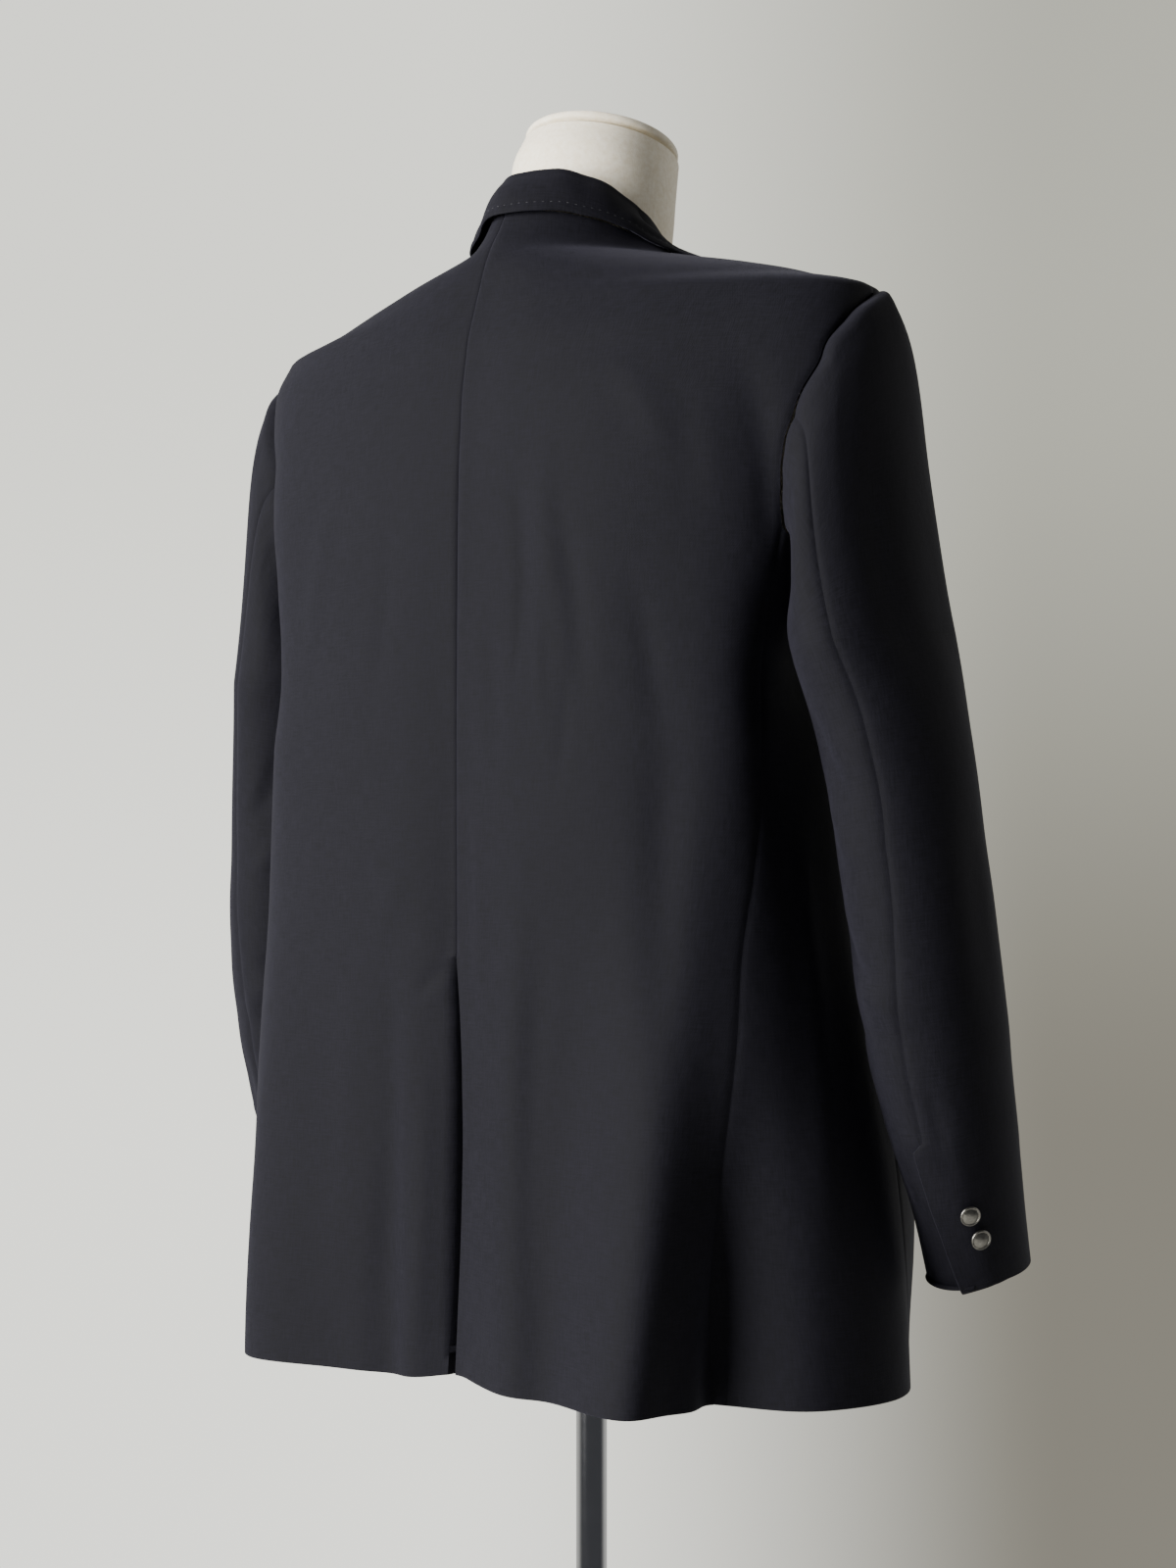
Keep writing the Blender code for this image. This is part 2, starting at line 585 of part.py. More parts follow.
STAND_TUCK = 0.0050          # how far it lies inside the front where it runs along the roll line
COLLAR_LIFT = 0.0062         # outer face of the fall's edge above the body's surface
FALL_BULGE = 0.0022          # the fall's swell between its edge and the fold
FOLD_R = 0.0032              # radius of the fold's outer face
FALL_SHARES = (0.0, 0.3, 0.62)   # points of the fall, as shares of its height
TURN_START = 0.15            # where the fold's round begins, in radians above level
STAND_BEND = 0.45            # the stand's bend, as a share of its height
TUCK_STEPS = (4.0, 0.8)      # where the stand slips inside the front, and over how long
# Along the roll line, the fold, the stand's lower edge and the bend between them: how far each is
# beyond the front's rim and above it.
ROLL_SECTION = (("fold", 0.0070, 0.0040), ("stand", -0.0040, -0.0068), ("under", 0.0078, -0.0062))


def grid_normals(points):
    """Directions square to a grid of points."""
    down = np.gradient(points, axis=0)
    across = np.gradient(points, axis=1)
    normal = np.cross(down, across)
    return normal / np.linalg.norm(normal, axis=-1, keepdims=True)


def neck_surface(sign):
    """Points and outward directions of the cloth that the collar lies on."""
    angles, heights = np.meshgrid(np.arange(0.0, 166.0, 1.5), np.arange(0.690, 0.809, 0.003))
    behind = (angles <= 90.0) & (heights <= neck_height(angles))
    before = (angles > 90.0) & (heights <= NECK_SIDE_H)
    before &= angles <= front_edge_angle(np.minimum(heights, ROLL_ROWS[-1][0]))
    kept = behind | before
    angles = angles[kept]
    heights = heights[kept]
    normal = body_normal(sign * angles, heights)
    lift = front_lift(angles, "left" if sign > 0 else "right")
    return body_point(sign * angles, heights) + normal * lift[:, None], normal


def clear_of(surface, point, clearance):
    """The point moved outward until it is the clearance above the surface."""
    places, normals = surface
    nearest = np.argsort(np.linalg.norm(places - point, axis=1))[:6]
    for place, normal in zip(places[nearest], normals[nearest]):
        short = max(clearance - (point - place).dot(normal), 0.0)
        beside = 1.0 - ease((point[2] - place[2] - 0.004) / 0.010)
        point = point + normal * short * beside
    return point


def collar_section(step, sign, surface):
    """The collar's outer face at one step: up the fall, over the fold and down the stand."""
    at = {name: float(read(COLLAR_COLUMNS, COLLAR_ROWS, name, step)) for name in COLLAR_COLUMNS}
    side = "left" if sign > 0 else "right"
    mirror = np.array([sign, 1.0, 1.0])
    sag = FOLD_DROP * ease(step / 1.5) * (1.0 - ease((step - 2.5) / 1.5)) if side == "left" else 0.0
    edge_h = at["edge_h"] - sag * EDGE_SAG
    edge = body_point(sign * at["edge_angle"], edge_h)
    edge = edge + body_normal(sign * at["edge_angle"], edge_h) * COLLAR_LIFT
    neckline = body_point(sign * at["stand_angle"], at["stand_h"])
    normal = body_normal(sign * at["stand_angle"], at["stand_h"])
    fold = np.array([at["fold_x"], at["fold_y"], at["fold_h"] + HEM_Z]) * mirror
    fold[0] -= neck_pull(fold[0], at["fold_h"]) * (1.0 - ease((step - 2.0) / 1.5))
    fold[2] -= sag
    fold[:2] *= 1.0 - FOLD_DRAW * sag / FOLD_DROP
    fold[:2] += HANG_SHIFT
    level = normal * np.array([1.0, 1.0, 0.0])
    level = level / np.linalg.norm(level)
    tuck = STAND_TUCK * ease((step - TUCK_STEPS[0]) / TUCK_STEPS[1])
    stand = neckline - normal * CLOTH - level * tuck
    stand[2] += STAND_RISE
    under = None
    along_roll = float(ease(step - 5.0))
    if along_roll > 0.0:
        roll_angle = float(front_edge_angle(np.array(at["stand_h"])))
        rim = body_point(sign * roll_angle, at["stand_h"])
        square = body_normal(sign * roll_angle, at["stand_h"])
        rim = rim + square * float(front_lift(np.array(roll_angle), side))
        across = body_point(sign * (roll_angle + 2.0), at["stand_h"]) - body_point(
            sign * roll_angle, at["stand_h"])
        across = across / np.linalg.norm(across)
        places = {name: rim + across * beyond + square * above
                  for name, beyond, above in ROLL_SECTION}
        fold = fold + (places["fold"] - fold) * along_roll
        stand = stand + (places["stand"] - stand) * along_roll
        under = places["under"]
    away = edge - stand
    away[2] = 0.0
    away /= np.linalg.norm(away)
    upward = np.array([0.0, 0.0, 1.0])
    fall = []
    for s in FALL_SHARES:
        point = edge + (fold + away * FOLD_R - edge) * s
        point = point + (upward + away) * FALL_BULGE * math.sin(math.pi * s)
        fall.append(clear_of(surface, point, COLLAR_LIFT))
    turn = [fold + away * FOLD_R * math.cos(t) + upward * FOLD_R * (math.sin(t) - 1)
            for t in (TURN_START, 0.5 * math.pi, math.pi - TURN_START)]
    middle = turn[2] + (stand - turn[2]) * STAND_BEND
    if under is not None:
        middle = middle + (under - middle) * along_roll
    return np.array(fall + turn + [middle, stand])


def make_collar(finish):
    surfaces = {sign: neck_surface(sign) for sign in (1.0, -1.0)}
    left = [collar_section(step, 1.0, surfaces[1.0]) for step in COLLAR_STEPS]
    right = [collar_section(step, -1.0, surfaces[-1.0]) for step in COLLAR_STEPS[1:]]
    outer = np.array(right[::-1] + left)
    normal = grid_normals(outer)
    outward = np.sign(normal[len(right), 1, 1])
    return wall("collar", outer, outer - normal * outward * CLOTH, finish)


# Rows of a lapel from the break of the roll line up to the collar: the height of its inner edge
# on the roll line, and its outer edge as a distance from the centre front and a height.
LAPEL_COLUMNS = ("step", "roll_h", "edge_offset", "edge_h")
LAPEL_ROWS = (
    (0.0, 0.4200, -0.0620, 0.4220),
    (1.0, 0.4700, -0.0080, 0.4640),
    (2.0, 0.5200, 0.0400, 0.5150),
    (3.0, 0.5700, 0.0800, 0.5700),
    (4.0, 0.6200, 0.1110, 0.6220),
    (5.0, 0.6700, 0.1330, 0.6680),
    (6.0, 0.7065, 0.1480, 0.7090),
)
LAPEL_GAP = 0.0018           # clear space between a lapel and its front
LAPEL_LENGTHS = 14
LAPEL_WIDTHS = 7
NOTCH_DIP = 0.0170           # depth of the hollow between the collar's end and the peak
ROLL_SWELL = 0.0030          # the lapel stands up this much more at its roll
ROLL_SWELL_WIDTH = 0.16      # over this share of its width


def make_lapel(side, finish):
    sign = 1.0 if side == "left" else -1.0
    last = LAPEL_ROWS[-1][0]
    steps = np.linspace(0.0, last, LAPEL_LENGTHS)[:, None]
    across = np.linspace(0.0, 1.0, LAPEL_WIDTHS)[None, :]
    roll_h = read(LAPEL_COLUMNS, LAPEL_ROWS, "roll_h", steps)
    roll_offset = read(ROLL_COLUMNS, ROLL_ROWS, "offset", roll_h)
    edge_offset = read(LAPEL_COLUMNS, LAPEL_ROWS, "edge_offset", steps)
    edge_h = read(LAPEL_COLUMNS, LAPEL_ROWS, "edge_h", steps)
    offset = roll_offset + (edge_offset - roll_offset) * across
    heights = roll_h + (edge_h - roll_h) * across
    heights = heights - NOTCH_DIP * np.sin(np.pi * across ** 1.3) * (steps / last) ** 10
    angles = front_angle(offset, heights)
    lift = front_lift(angles, side) + CLOTH + LAPEL_GAP
    rolled = ROLL_SWELL * np.exp(-(across / ROLL_SWELL_WIDTH) ** 2)
    if side == "left":
        rolled = rolled * ease((heights - 0.60) / 0.05)
    return body_panel("lapel_" + side, sign * angles, heights, finish, lift + rolled)


# ---- fastenings -----------------------------------------------------------------------------
def turned(name, profile, finish, steps):
    """A turned piece: its profile of radius and height, from the top down, swept round +Z."""
    points = [(radius, 0.0, height) for radius, height in profile]
    mesh = bpy.data.meshes.new(name)
    mesh.from_pydata(points, [(k, k + 1) for k in range(len(points) - 1)], [])
    piece = add_object(name, mesh, finish)
    sweep = piece.modifiers.new("turned", "SCREW")
    sweep.axis = "Z"
    sweep.angle = 2 * math.pi
    sweep.steps = steps
    sweep.render_steps = steps
    sweep.use_merge_vertices = True
    sweep.merge_threshold = 0.0001
    sweep.use_smooth_shade = True
    return piece


# A button's profile as shares of its radius, from the top down: a domed middle inside a rim.
BUTTON_PROFILE = ((0.0, 0.42), (0.50, 0.36), (0.80, 0.26), (0.86, 0.30), (1.0, 0.24),
                  (1.0, 0.10), (0.78, 0.0), (0.0, 0.0))
FRONT_BUTTON_HEIGHTS = (0.385, 0.275, 0.165)


def place_button(name, radius, point, normal, finish):
    profile = [(r * radius, h * radius) for r, h in BUTTON_PROFILE]
    button = turned(name, profile, finish, steps=12)
    button.location = Vector(point + normal * LAY_GAP)
    button.rotation_mode = "QUATERNION"
    button.rotation_quaternion = Vector(normal).to_track_quat("Z", "Y")
    return button


def make_front_buttons(finish):
    """Two columns of three on the right front, which lies uppermost."""
    for column, offset in (("inner", BUTTON_X), ("edge", -BUTTON_X)):
        for row, height in enumerate(FRONT_BUTTON_HEIGHTS, start=1):
            angle = float(front_angle(offset, height))
            normal = body_normal(-angle, height)
            point = body_point(-angle, height) + normal * float(front_lift(np.array(angle), "right"))
            place_button(f"button_{column}_{row}", FRONT_BUTTON_R, point, normal, finish)


CUFF_BUTTON_PLACES = ((1, 0.1350, 26.0), (2, 0.1165, 27.5))   # number, height, bearing


def make_cuff_buttons(side, finish):
    """Two buttons on the topsleeve beside the cuff's opening."""
    sign = 1.0 if side == "left" else -1.0
    mirror = np.array([sign, 1.0, 1.0])
    drop = sleeve_hang(sign)
    for number, height, bearing in CUFF_BUTTON_PLACES:
        near = [sleeve_ring(np.array([bearing + turn]), height)[0] for turn in (-2.0, 2.0)]
        above = sleeve_ring(np.array([bearing]), height + 0.004)[0]
        below = sleeve_ring(np.array([bearing]), height - 0.004)[0]
        normal = np.cross(near[1] - near[0], above - below)
        normal /= np.linalg.norm(normal)
        point = sleeve_ring(np.array([bearing]), height)[0]
        if normal.dot(point - sleeve_middle(height)) < 0:
            normal = -normal
        point = point + normal * LAY_GAP - drop
        place_button(f"cuff_button_{side}_{number}", CUFF_BUTTON_R, point * mirror,
                     normal * mirror, finish)


# ---- the dress form -------------------------------------------------------------------------
FORM_COLUMNS = ("height", "half_width", "back", "front", "tilt")
FORM_ROWS = (
    (0.070, 0.1500, 0.0950, -0.1000, 0.0),
    (0.110, 0.1640, 0.1080, -0.1120, 0.0),
    (0.200, 0.1700, 0.1150, -0.1150, 0.0),
    (0.320, 0.1520, 0.0960, -0.1050, 0.0),
    (0.420, 0.1350, 0.0860, -0.0960, 0.0),
    (0.500, 0.1430, 0.0960, -0.1050, 0.0),
    (0.580, 0.1580, 0.1100, -0.1130, 0.0),
    (0.640, 0.1680, 0.1150, -0.1060, 0.0),
    (0.700, 0.1760, 0.1060, -0.0850, 0.0),
    (0.728, 0.1700, 0.0980, -0.0700, 0.0),
    (0.742, 0.1420, 0.0860, -0.0620, 0.0),
    (0.754, 0.1050, 0.0760, -0.0550, 0.0),
    (0.765, 0.0690, 0.0650, -0.0520, 0.0),
    (0.785, 0.0615, 0.0600, -0.0540, 0.0),
    (0.820, 0.0605, 0.0590, -0.0600, 4.0),
    (0.845, 0.0600, 0.0580, -0.0640, 9.0),
    (0.8685, 0.0570, 0.0450, -0.0690, 13.8),
)
FORM_SIDES = 24
CAP_SINK = 0.0040
CAP_MIDDLE = (-0.0120, 0.8755)
CAP_RADIUS = 0.0565
CAP_TILT = 13.8
CAP_PROFILE = ((0.0, 0.155), (0.75, 0.145), (0.97, 0.125), (1.0, 0.09), (1.0, 0.03), (0.93, 0.0),
               (0.0, 0.0))


def form_ring(height):
    at = {name: float(read(FORM_COLUMNS, FORM_ROWS, name, height)) for name in FORM_COLUMNS}
    turn = np.linspace(0.0, 2 * math.pi, FORM_SIDES, endpoint=False)
    middle = 0.5 * (at["back"] + at["front"])
    reach = 0.5 * (at["back"] - at["front"])
    x = at["half_width"] * np.sin(turn)
    y = middle + reach * np.cos(turn)
    z = height + HEM_Z + (y - middle) * math.tan(math.radians(at["tilt"]))
    return np.stack([x, y, z], axis=1)


def make_form(finish):
    """The form's torso and neck, one smooth closed body."""
    heights = [row[0] for row in FORM_ROWS]
    middles = [0.5 * (a + b) for a, b in zip(heights[:-1], heights[1:]) if b - a > 0.05]
    made = bmesh.new()
    rings = [[made.verts.new(point) for point in form_ring(height)]
             for height in sorted(heights + middles)]
    for low, high in zip(rings[:-1], rings[1:]):
        for k in range(FORM_SIDES):
            n = (k + 1) % FORM_SIDES
            made.faces.new((low[k], low[n], high[n], high[k]))
    made.faces.new(rings[0])
    made.faces.new(rings[-1])
    bmesh.ops.recalc_face_normals(made, faces=made.faces)
    mesh = bpy.data.meshes.new("form_torso")
    made.to_mesh(mesh)
    made.free()
    mesh.shade_smooth()
    mesh.set_sharp_from_angle(angle=math.radians(40))
    return add_object("form_torso", mesh, finish)


def make_cap(finish):
    profile = [(r * CAP_RADIUS, h * CAP_RADIUS) for r, h in CAP_PROFILE]
    cap = turned("neck_cap", profile, finish, steps=FORM_SIDES)
    cap.location = (0.0, CAP_MIDDLE[0], CAP_MIDDLE[1] + HEM_Z - CAP_SINK)
    cap.rotation_euler = (math.radians(CAP_TILT), 0.0, 0.0)
    return cap


def make_pole(finish):
    low = BASE_T + SOCKET_T + REST_GAP
    high = TORSO_LOW_H + HEM_Z - REST_GAP
    profile = ((0.0, high), (POLE_R, high), (POLE_R, low), (0.0, low))
    return turned("pole", profile, finish, steps=24)


def make_base(finish):
    top = BASE_T + SOCKET_T
    profile = ((0.0, top), (SOCKET_R[0], top), (SOCKET_R[1], BASE_T), (BASE_R - BASE_CHAMFER, BASE_T),
               (BASE_R, 0.6 * BASE_T), (BASE_R, 0.0), (0.0, 0.0))
    return turned("base", profile, finish, steps=40)


# ---- scene ----------------------------------------------------------------------------------
def clear_scene():
    for piece in list(bpy.data.objects):
        bpy.data.objects.remove(piece, do_unlink=True)
    home = bpy.data.collections.get("blazer on dress form")
    if home is None:
        home = bpy.data.collections.new("blazer on dress form")
        bpy.context.scene.collection.children.link(home)


def main():
    clear_scene()
    wool = material("navy wool", (0.012, 0.012, 0.017), 0.8)
    linen = material("cream linen", (0.62, 0.58, 0.50), 0.9)
    chrome = material("chrome", (0.60, 0.60, 0.60), 0.15, 1.0)
    silver = material("silver", (0.55, 0.54, 0.52), 0.3, 1.0)
    for side in ("left", "right"):
        make_back(side, wool)
        make_side(side, wool)
        make_front(side, wool)
        make_sleeve(side, wool)
        make_lapel(side, wool)
        make_cuff_buttons(side, silver)
    make_collar(wool)
    make_front_buttons(silver)
    make_form(linen)
    make_cap(linen)
    make_pole(chrome)
    make_base(chrome)


main()
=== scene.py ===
"""Looks of a double-breasted blazer on a limbless dress form, in metres, +Z up.

The wearer faces -Y and the wearer's right is -X. Each panel of the frame is replaced by a
finer sheet on the same form, with its creases, rolled edges, seams and stitches. Heights in the
tables are measured from the hem, HEM_Z above the floor; angles go round from centre back, plus to
the wearer's left.
"""
import math

import bpy
import numpy as np
from mathutils import Matrix, Vector


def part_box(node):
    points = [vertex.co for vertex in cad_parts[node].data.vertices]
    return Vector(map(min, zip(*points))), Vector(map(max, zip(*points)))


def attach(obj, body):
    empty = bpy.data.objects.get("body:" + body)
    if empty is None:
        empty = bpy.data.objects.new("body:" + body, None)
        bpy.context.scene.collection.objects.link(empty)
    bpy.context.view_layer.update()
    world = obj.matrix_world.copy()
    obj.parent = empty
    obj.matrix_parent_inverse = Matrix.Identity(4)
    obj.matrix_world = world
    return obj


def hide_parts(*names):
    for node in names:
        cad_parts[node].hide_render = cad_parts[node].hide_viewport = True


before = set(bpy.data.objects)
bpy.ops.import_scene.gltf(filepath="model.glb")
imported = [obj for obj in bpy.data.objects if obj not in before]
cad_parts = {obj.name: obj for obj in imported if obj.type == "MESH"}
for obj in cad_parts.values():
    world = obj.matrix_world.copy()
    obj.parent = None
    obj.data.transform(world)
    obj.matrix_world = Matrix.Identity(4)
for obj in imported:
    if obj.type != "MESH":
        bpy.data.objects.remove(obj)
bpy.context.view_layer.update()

# ---- driving dimensions ---------------------------------------------------------------------
HEM_Z = 0.680            # hem above the floor
CLOTH = 0.0020           # thickness of the cloth
SEAM_GAP = 0.00016       # clear space between two panels at a seam
SHOULDER_H = 0.7365      # shoulder tip above the hem
ARMHOLE_SIDE_H = 0.575   # where the side panel's seams meet the armhole
ARMHOLE_LOW_H = 0.545    # lowest point of the armhole
SIDE_TOP_ANGLES = (75.2, 102.0)      # the side panel's upper corners, as angles from centre back
LEFT_DROP = 0.0120       # the left shoulder hangs this much lower
NECK_PULL = 0.0090       # the left half of the neck is drawn this much toward the centre
FOLD_DROP = 0.0100       # the collar's fold is this much lower on the left of the neck
EDGE_SAG = 0.9           # share of that drop followed by the edge of the fall
FOLD_DRAW = 0.080        # and drawn in by this share of its distance from the neck's middle
HEM_KICK = 0.0050        # the hem rises this much beside the vent
HANG_SHIFT = (0.0042, 0.0031)        # the blazer hangs this far off the form's middle, in X and Y
SLEEVE_SWAY = 0.0050     # both sleeves hang this much toward the wearer's right
NECK_BACK_H = 0.8100     # neckline at centre back
NECK_SIDE_H = 0.7850     # neckline at the shoulder seam
VENT_TOP_H = 0.290       # top of the centre back vent
VENT_GAP = 0.0019        # clear space under the vent's upper edge
VENT_HOLLOW = 0.0070     # how much deeper the left panel turns in beside that edge
VENT_ROLL = 0.0125       # distance from the edge at which the left panel starts to roll inward
VENT_ROLL_END = 0.0018   # distance at which that roll is complete
VENT_ROLL_DEPTH = 0.0046  # how deep it goes
VENT_WALL = 0.0024       # distance at which the turned wall starts
VENT_TUCK = 0.0014       # distance at which the tuck under the edge starts
VENT_UNDERCUT = 0.0040   # how far the turned wall leans back under the right panel
VENT_CLOSE = 0.0034      # how much the gap beside the edge closes at the hem
VENT_CLOSE_H = 0.050     # height at which it starts to close
VENT_LAP_ANGLE = 10.5    # how far the left panel reaches under the right one
VENT_LAP_REACH = 0.020   # width of the left panel that takes part in that
# extra columns where the left panel turns: start, end, count
VENT_CROWD = ((0.0090, 0.0106, 5), (0.0108, 0.0137, 27), (0.0141, 0.0161, 6))
BACK_R = 0.150           # radius of the back beside the vent
BREAK_H = 0.415          # where the lapels begin to turn back
FRONT_LAP = 0.072        # each front reaches this far past the centre line
UNDER_LIFT = -0.0013     # the left front where it lies under the right one
OVER_LIFT = 0.0058       # the right front where it passes over the left front and its lapel
LAPEL_GAP = 0.0018       # clear space between a lapel and its front
NOTCH_DIP = 0.0170       # depth of the hollow between the collar's end and the peak
STAND_RISE = 0.0026      # the collar stand's lower edge above the neckline
STAND_TUCK = 0.0050      # how far it lies inside the front where it runs along the roll line
COLLAR_LIFT = 0.0062     # outer face of the fall's edge above the body's surface
END_SINK = 0.0031        # the fall lies this much closer over the shoulder and beyond
FALL_BULGE = 0.0022      # the fall's swell between its edge and the fold
FOLD_R = 0.0032          # radius of the collar fold's outer face
ARMHOLE_MIDDLE = (0.0151, 0.640)     # Y and height of the armhole's middle
ARMHOLE_REACH = (0.062, 0.096)       # half of its size along Y and upward
CUFF_H = 0.078
CUFF_VENT_H = 0.185      # top of the cuff's overlap

BODY_COLUMNS = ("height", "half_width", "back", "front", "centre", "back_power", "front_power")
BODY_ROWS = (
    (0.000, 0.2520, 0.1650, -0.1380, 0.0400, 2.90, 2.40),
    (0.100, 0.2460, 0.1610, -0.1390, 0.0380, 2.90, 2.40),
    (0.200, 0.2370, 0.1575, -0.1400, 0.0350, 3.00, 2.40),
    (0.300, 0.2270, 0.1560, -0.1410, 0.0330, 3.10, 2.50),
    (0.430, 0.2110, 0.1545, -0.1430, 0.0300, 3.30, 2.60),
    (0.500, 0.1980, 0.1530, -0.1430, 0.0290, 3.40, 2.60),
    (0.550, 0.2020, 0.1520, -0.1400, 0.0280, 3.30, 2.60),
    (0.610, 0.2180, 0.1505, -0.1340, 0.0260, 3.00, 2.50),
    (0.650, 0.2305, 0.1480, -0.1270, 0.0240, 2.75, 2.40),
    (0.700, 0.2455, 0.1415, -0.1120, 0.0220, 2.30, 2.20),
    (0.7365, 0.2510, 0.1310, -0.0930, 0.0200, 1.95, 2.10),
    (0.7500, 0.2150, 0.1260, -0.0860, 0.0180, 1.85, 2.10),
    (0.7640, 0.1660, 0.1210, -0.0770, 0.0160, 1.80, 2.05),
    (0.7760, 0.1130, 0.1155, -0.0680, 0.0130, 1.75, 2.00),
    (0.7850, 0.0825, 0.1105, -0.0600, 0.0100, 1.70, 2.00),
    (0.8000, 0.0765, 0.1005, -0.0480, 0.0080, 1.75, 2.00),
    (0.8200, 0.0710, 0.0910, -0.0400, 0.0060, 1.80, 2.00),
)

# The largest folds. A fold leans from low_angle at its low end to high_angle
# at its high end; it is deepest at peak, and depth is outward.
FOLD_COLUMNS = ("low_angle", "high_angle", "low", "peak", "high", "width", "depth")
FOLD_ROWS = (
    (-48.0, -60.0, -0.300, 0.000, 0.420, 8.5, 0.046),
    (-69.0, -69.0, -0.300, 0.000, 0.240, 5.5, -0.036),
    (-93.0, -88.0, -0.300, 0.000, 0.340, 13.0, 0.0235),
    (-68.0, -68.0, 0.300, 0.500, 0.660, 9.0, 0.015),
    (-78.0, -80.0, 0.400, 0.650, 0.810, 9.5, 0.029),
    (52.0, 60.0, -0.300, 0.000, 0.400, 9.0, 0.026),
    (24.0, 26.0, -0.300, 0.000, 0.300, 7.0, -0.008),
    (70.0, 71.0, -0.300, 0.000, 0.200, 6.0, -0.014),
    (65.0, 65.0, 0.280, 0.560, 0.735, 9.5, 0.012),
    (72.0, 72.0, 0.655, 0.712, 0.750, 14.0, 0.006),
    (90.0, 90.0, 0.150, 0.440, 0.560, 16.0, -0.0065),
    (0.0, 0.0, -0.300, 0.000, 0.600, 12.0, -0.0105),
    (0.0, 0.0, -0.050, 0.550, 0.900, 17.0, -0.0035),
    (-27.0, -25.0, -0.300, 0.000, 0.300, 9.0, 0.010),
    (27.0, 27.0, 0.755, 0.815, 0.950, 17.0, -0.0060),
    (-122.0, -118.0, -0.100, 0.110, 0.430, 15.0, 0.019),
)

SEAM_COLUMNS = ("height", "back_seam", "front_seam")
SEAM_ROWS = (
    (0.000, 69.0, 106.0),
    (0.100, 67.0, 105.0),
    (0.270, 68.8, 103.0),
    (0.350, 71.8, 102.3),
    (0.440, 73.7, 102.0),
    (ARMHOLE_SIDE_H, *SIDE_TOP_ANGLES),
)
ARMHOLE_COLUMNS = ("height", "back_edge", "front_edge")
ARMHOLE_ROWS = (
    (ARMHOLE_SIDE_H, *SIDE_TOP_ANGLES),
    (0.600, 73.6, 104.4),
    (0.624, 73.1, 105.8),
    (0.646, 73.7, 105.6),
    (0.682, 76.4, 102.8),
    (0.713, 81.2, 96.9),
    (0.7365, 90.0, 90.0),
)
ROLL_COLUMNS = ("height", "offset")
ROLL_ROWS = (
    (0.415, -0.072),
    (0.500, -0.034),
    (0.600, 0.008),
    (0.700, 0.046),
    (0.750, 0.063),
    (0.781, 0.074),
)
SLEEVE_COLUMNS = ("height", "x", "y", "half_width", "half_depth", "twist")
SLEEVE_ROWS = (
    (0.500, 0.2490, 0.0200, 0.0450, 0.0770, 14.0),
    (0.430, 0.2640, 0.0150, 0.0460, 0.0640, 16.0),
    (0.365, 0.2730, 0.0105, 0.0455, 0.0600, 14.0),
    (0.300, 0.2796, 0.0045, 0.0455, 0.0590, 9.0),
    (0.250, 0.2820, -0.0040, 0.0450, 0.0575, 5.0),
    (0.205, 0.2845, -0.0135, 0.0425, 0.0540, 4.5),
    (0.160, 0.2875, -0.0265, 0.0385, 0.0500, 6.5),
    (0.125, 0.2885, -0.0385, 0.0350, 0.0460, 13.0),
    (0.078, 0.2880, -0.0550, 0.0325, 0.0430, 26.0),
)
COLLAR_COLUMNS = ("step", "fold_x", "fold_y", "fold_h", "edge_angle", "edge_h",
                  "stand_angle", "stand_h")
COLLAR_ROWS = (
    (0.0, 0.0000, 0.0820, 0.8390, 0.0, 0.8050, 0.0, 0.8100),
    (1.0, 0.0240, 0.0770, 0.8400, 20.0, 0.8060, 19.0, 0.8086),
    (2.0, 0.0455, 0.0610, 0.8355, 38.0, 0.8030, 38.0, 0.8047),
    (3.0, 0.0610, 0.0370, 0.8240, 56.0, 0.7975, 60.0, 0.7975),
    (4.0, 0.0670, 0.0150, 0.8110, 74.0, 0.7885, 83.0, 0.7880),
    (5.0, 0.0690, -0.0130, 0.7938, 94.0, 0.7800, 108.0, 0.7868),
    (6.0, 0.0675, -0.0590, 0.7775, 113.0, 0.7680, 135.0, 0.7700),
    (7.0, 0.0605, -0.0965, 0.7440, 129.6, 0.7350, 152.0, 0.7365),
    (8.0, 0.0515, -0.1115, 0.7170, 139.7, 0.7060, 158.4, 0.7110),
)
LAPEL_COLUMNS = ("step", "roll_h", "edge_offset", "edge_h")
LAPEL_ROWS = (
    (0.0, 0.4200, -0.0620, 0.4220),
    (1.0, 0.4700, -0.0080, 0.4640),
    (2.0, 0.5200, 0.0400, 0.5150),
    (3.0, 0.5700, 0.0800, 0.5700),
    (4.0, 0.6200, 0.1110, 0.6220),
    (5.0, 0.6700, 0.1330, 0.6680),
    (6.0, 0.7065, 0.1480, 0.7090),
)
FORM_COLUMNS = ("height", "half_width", "back", "front", "tilt")
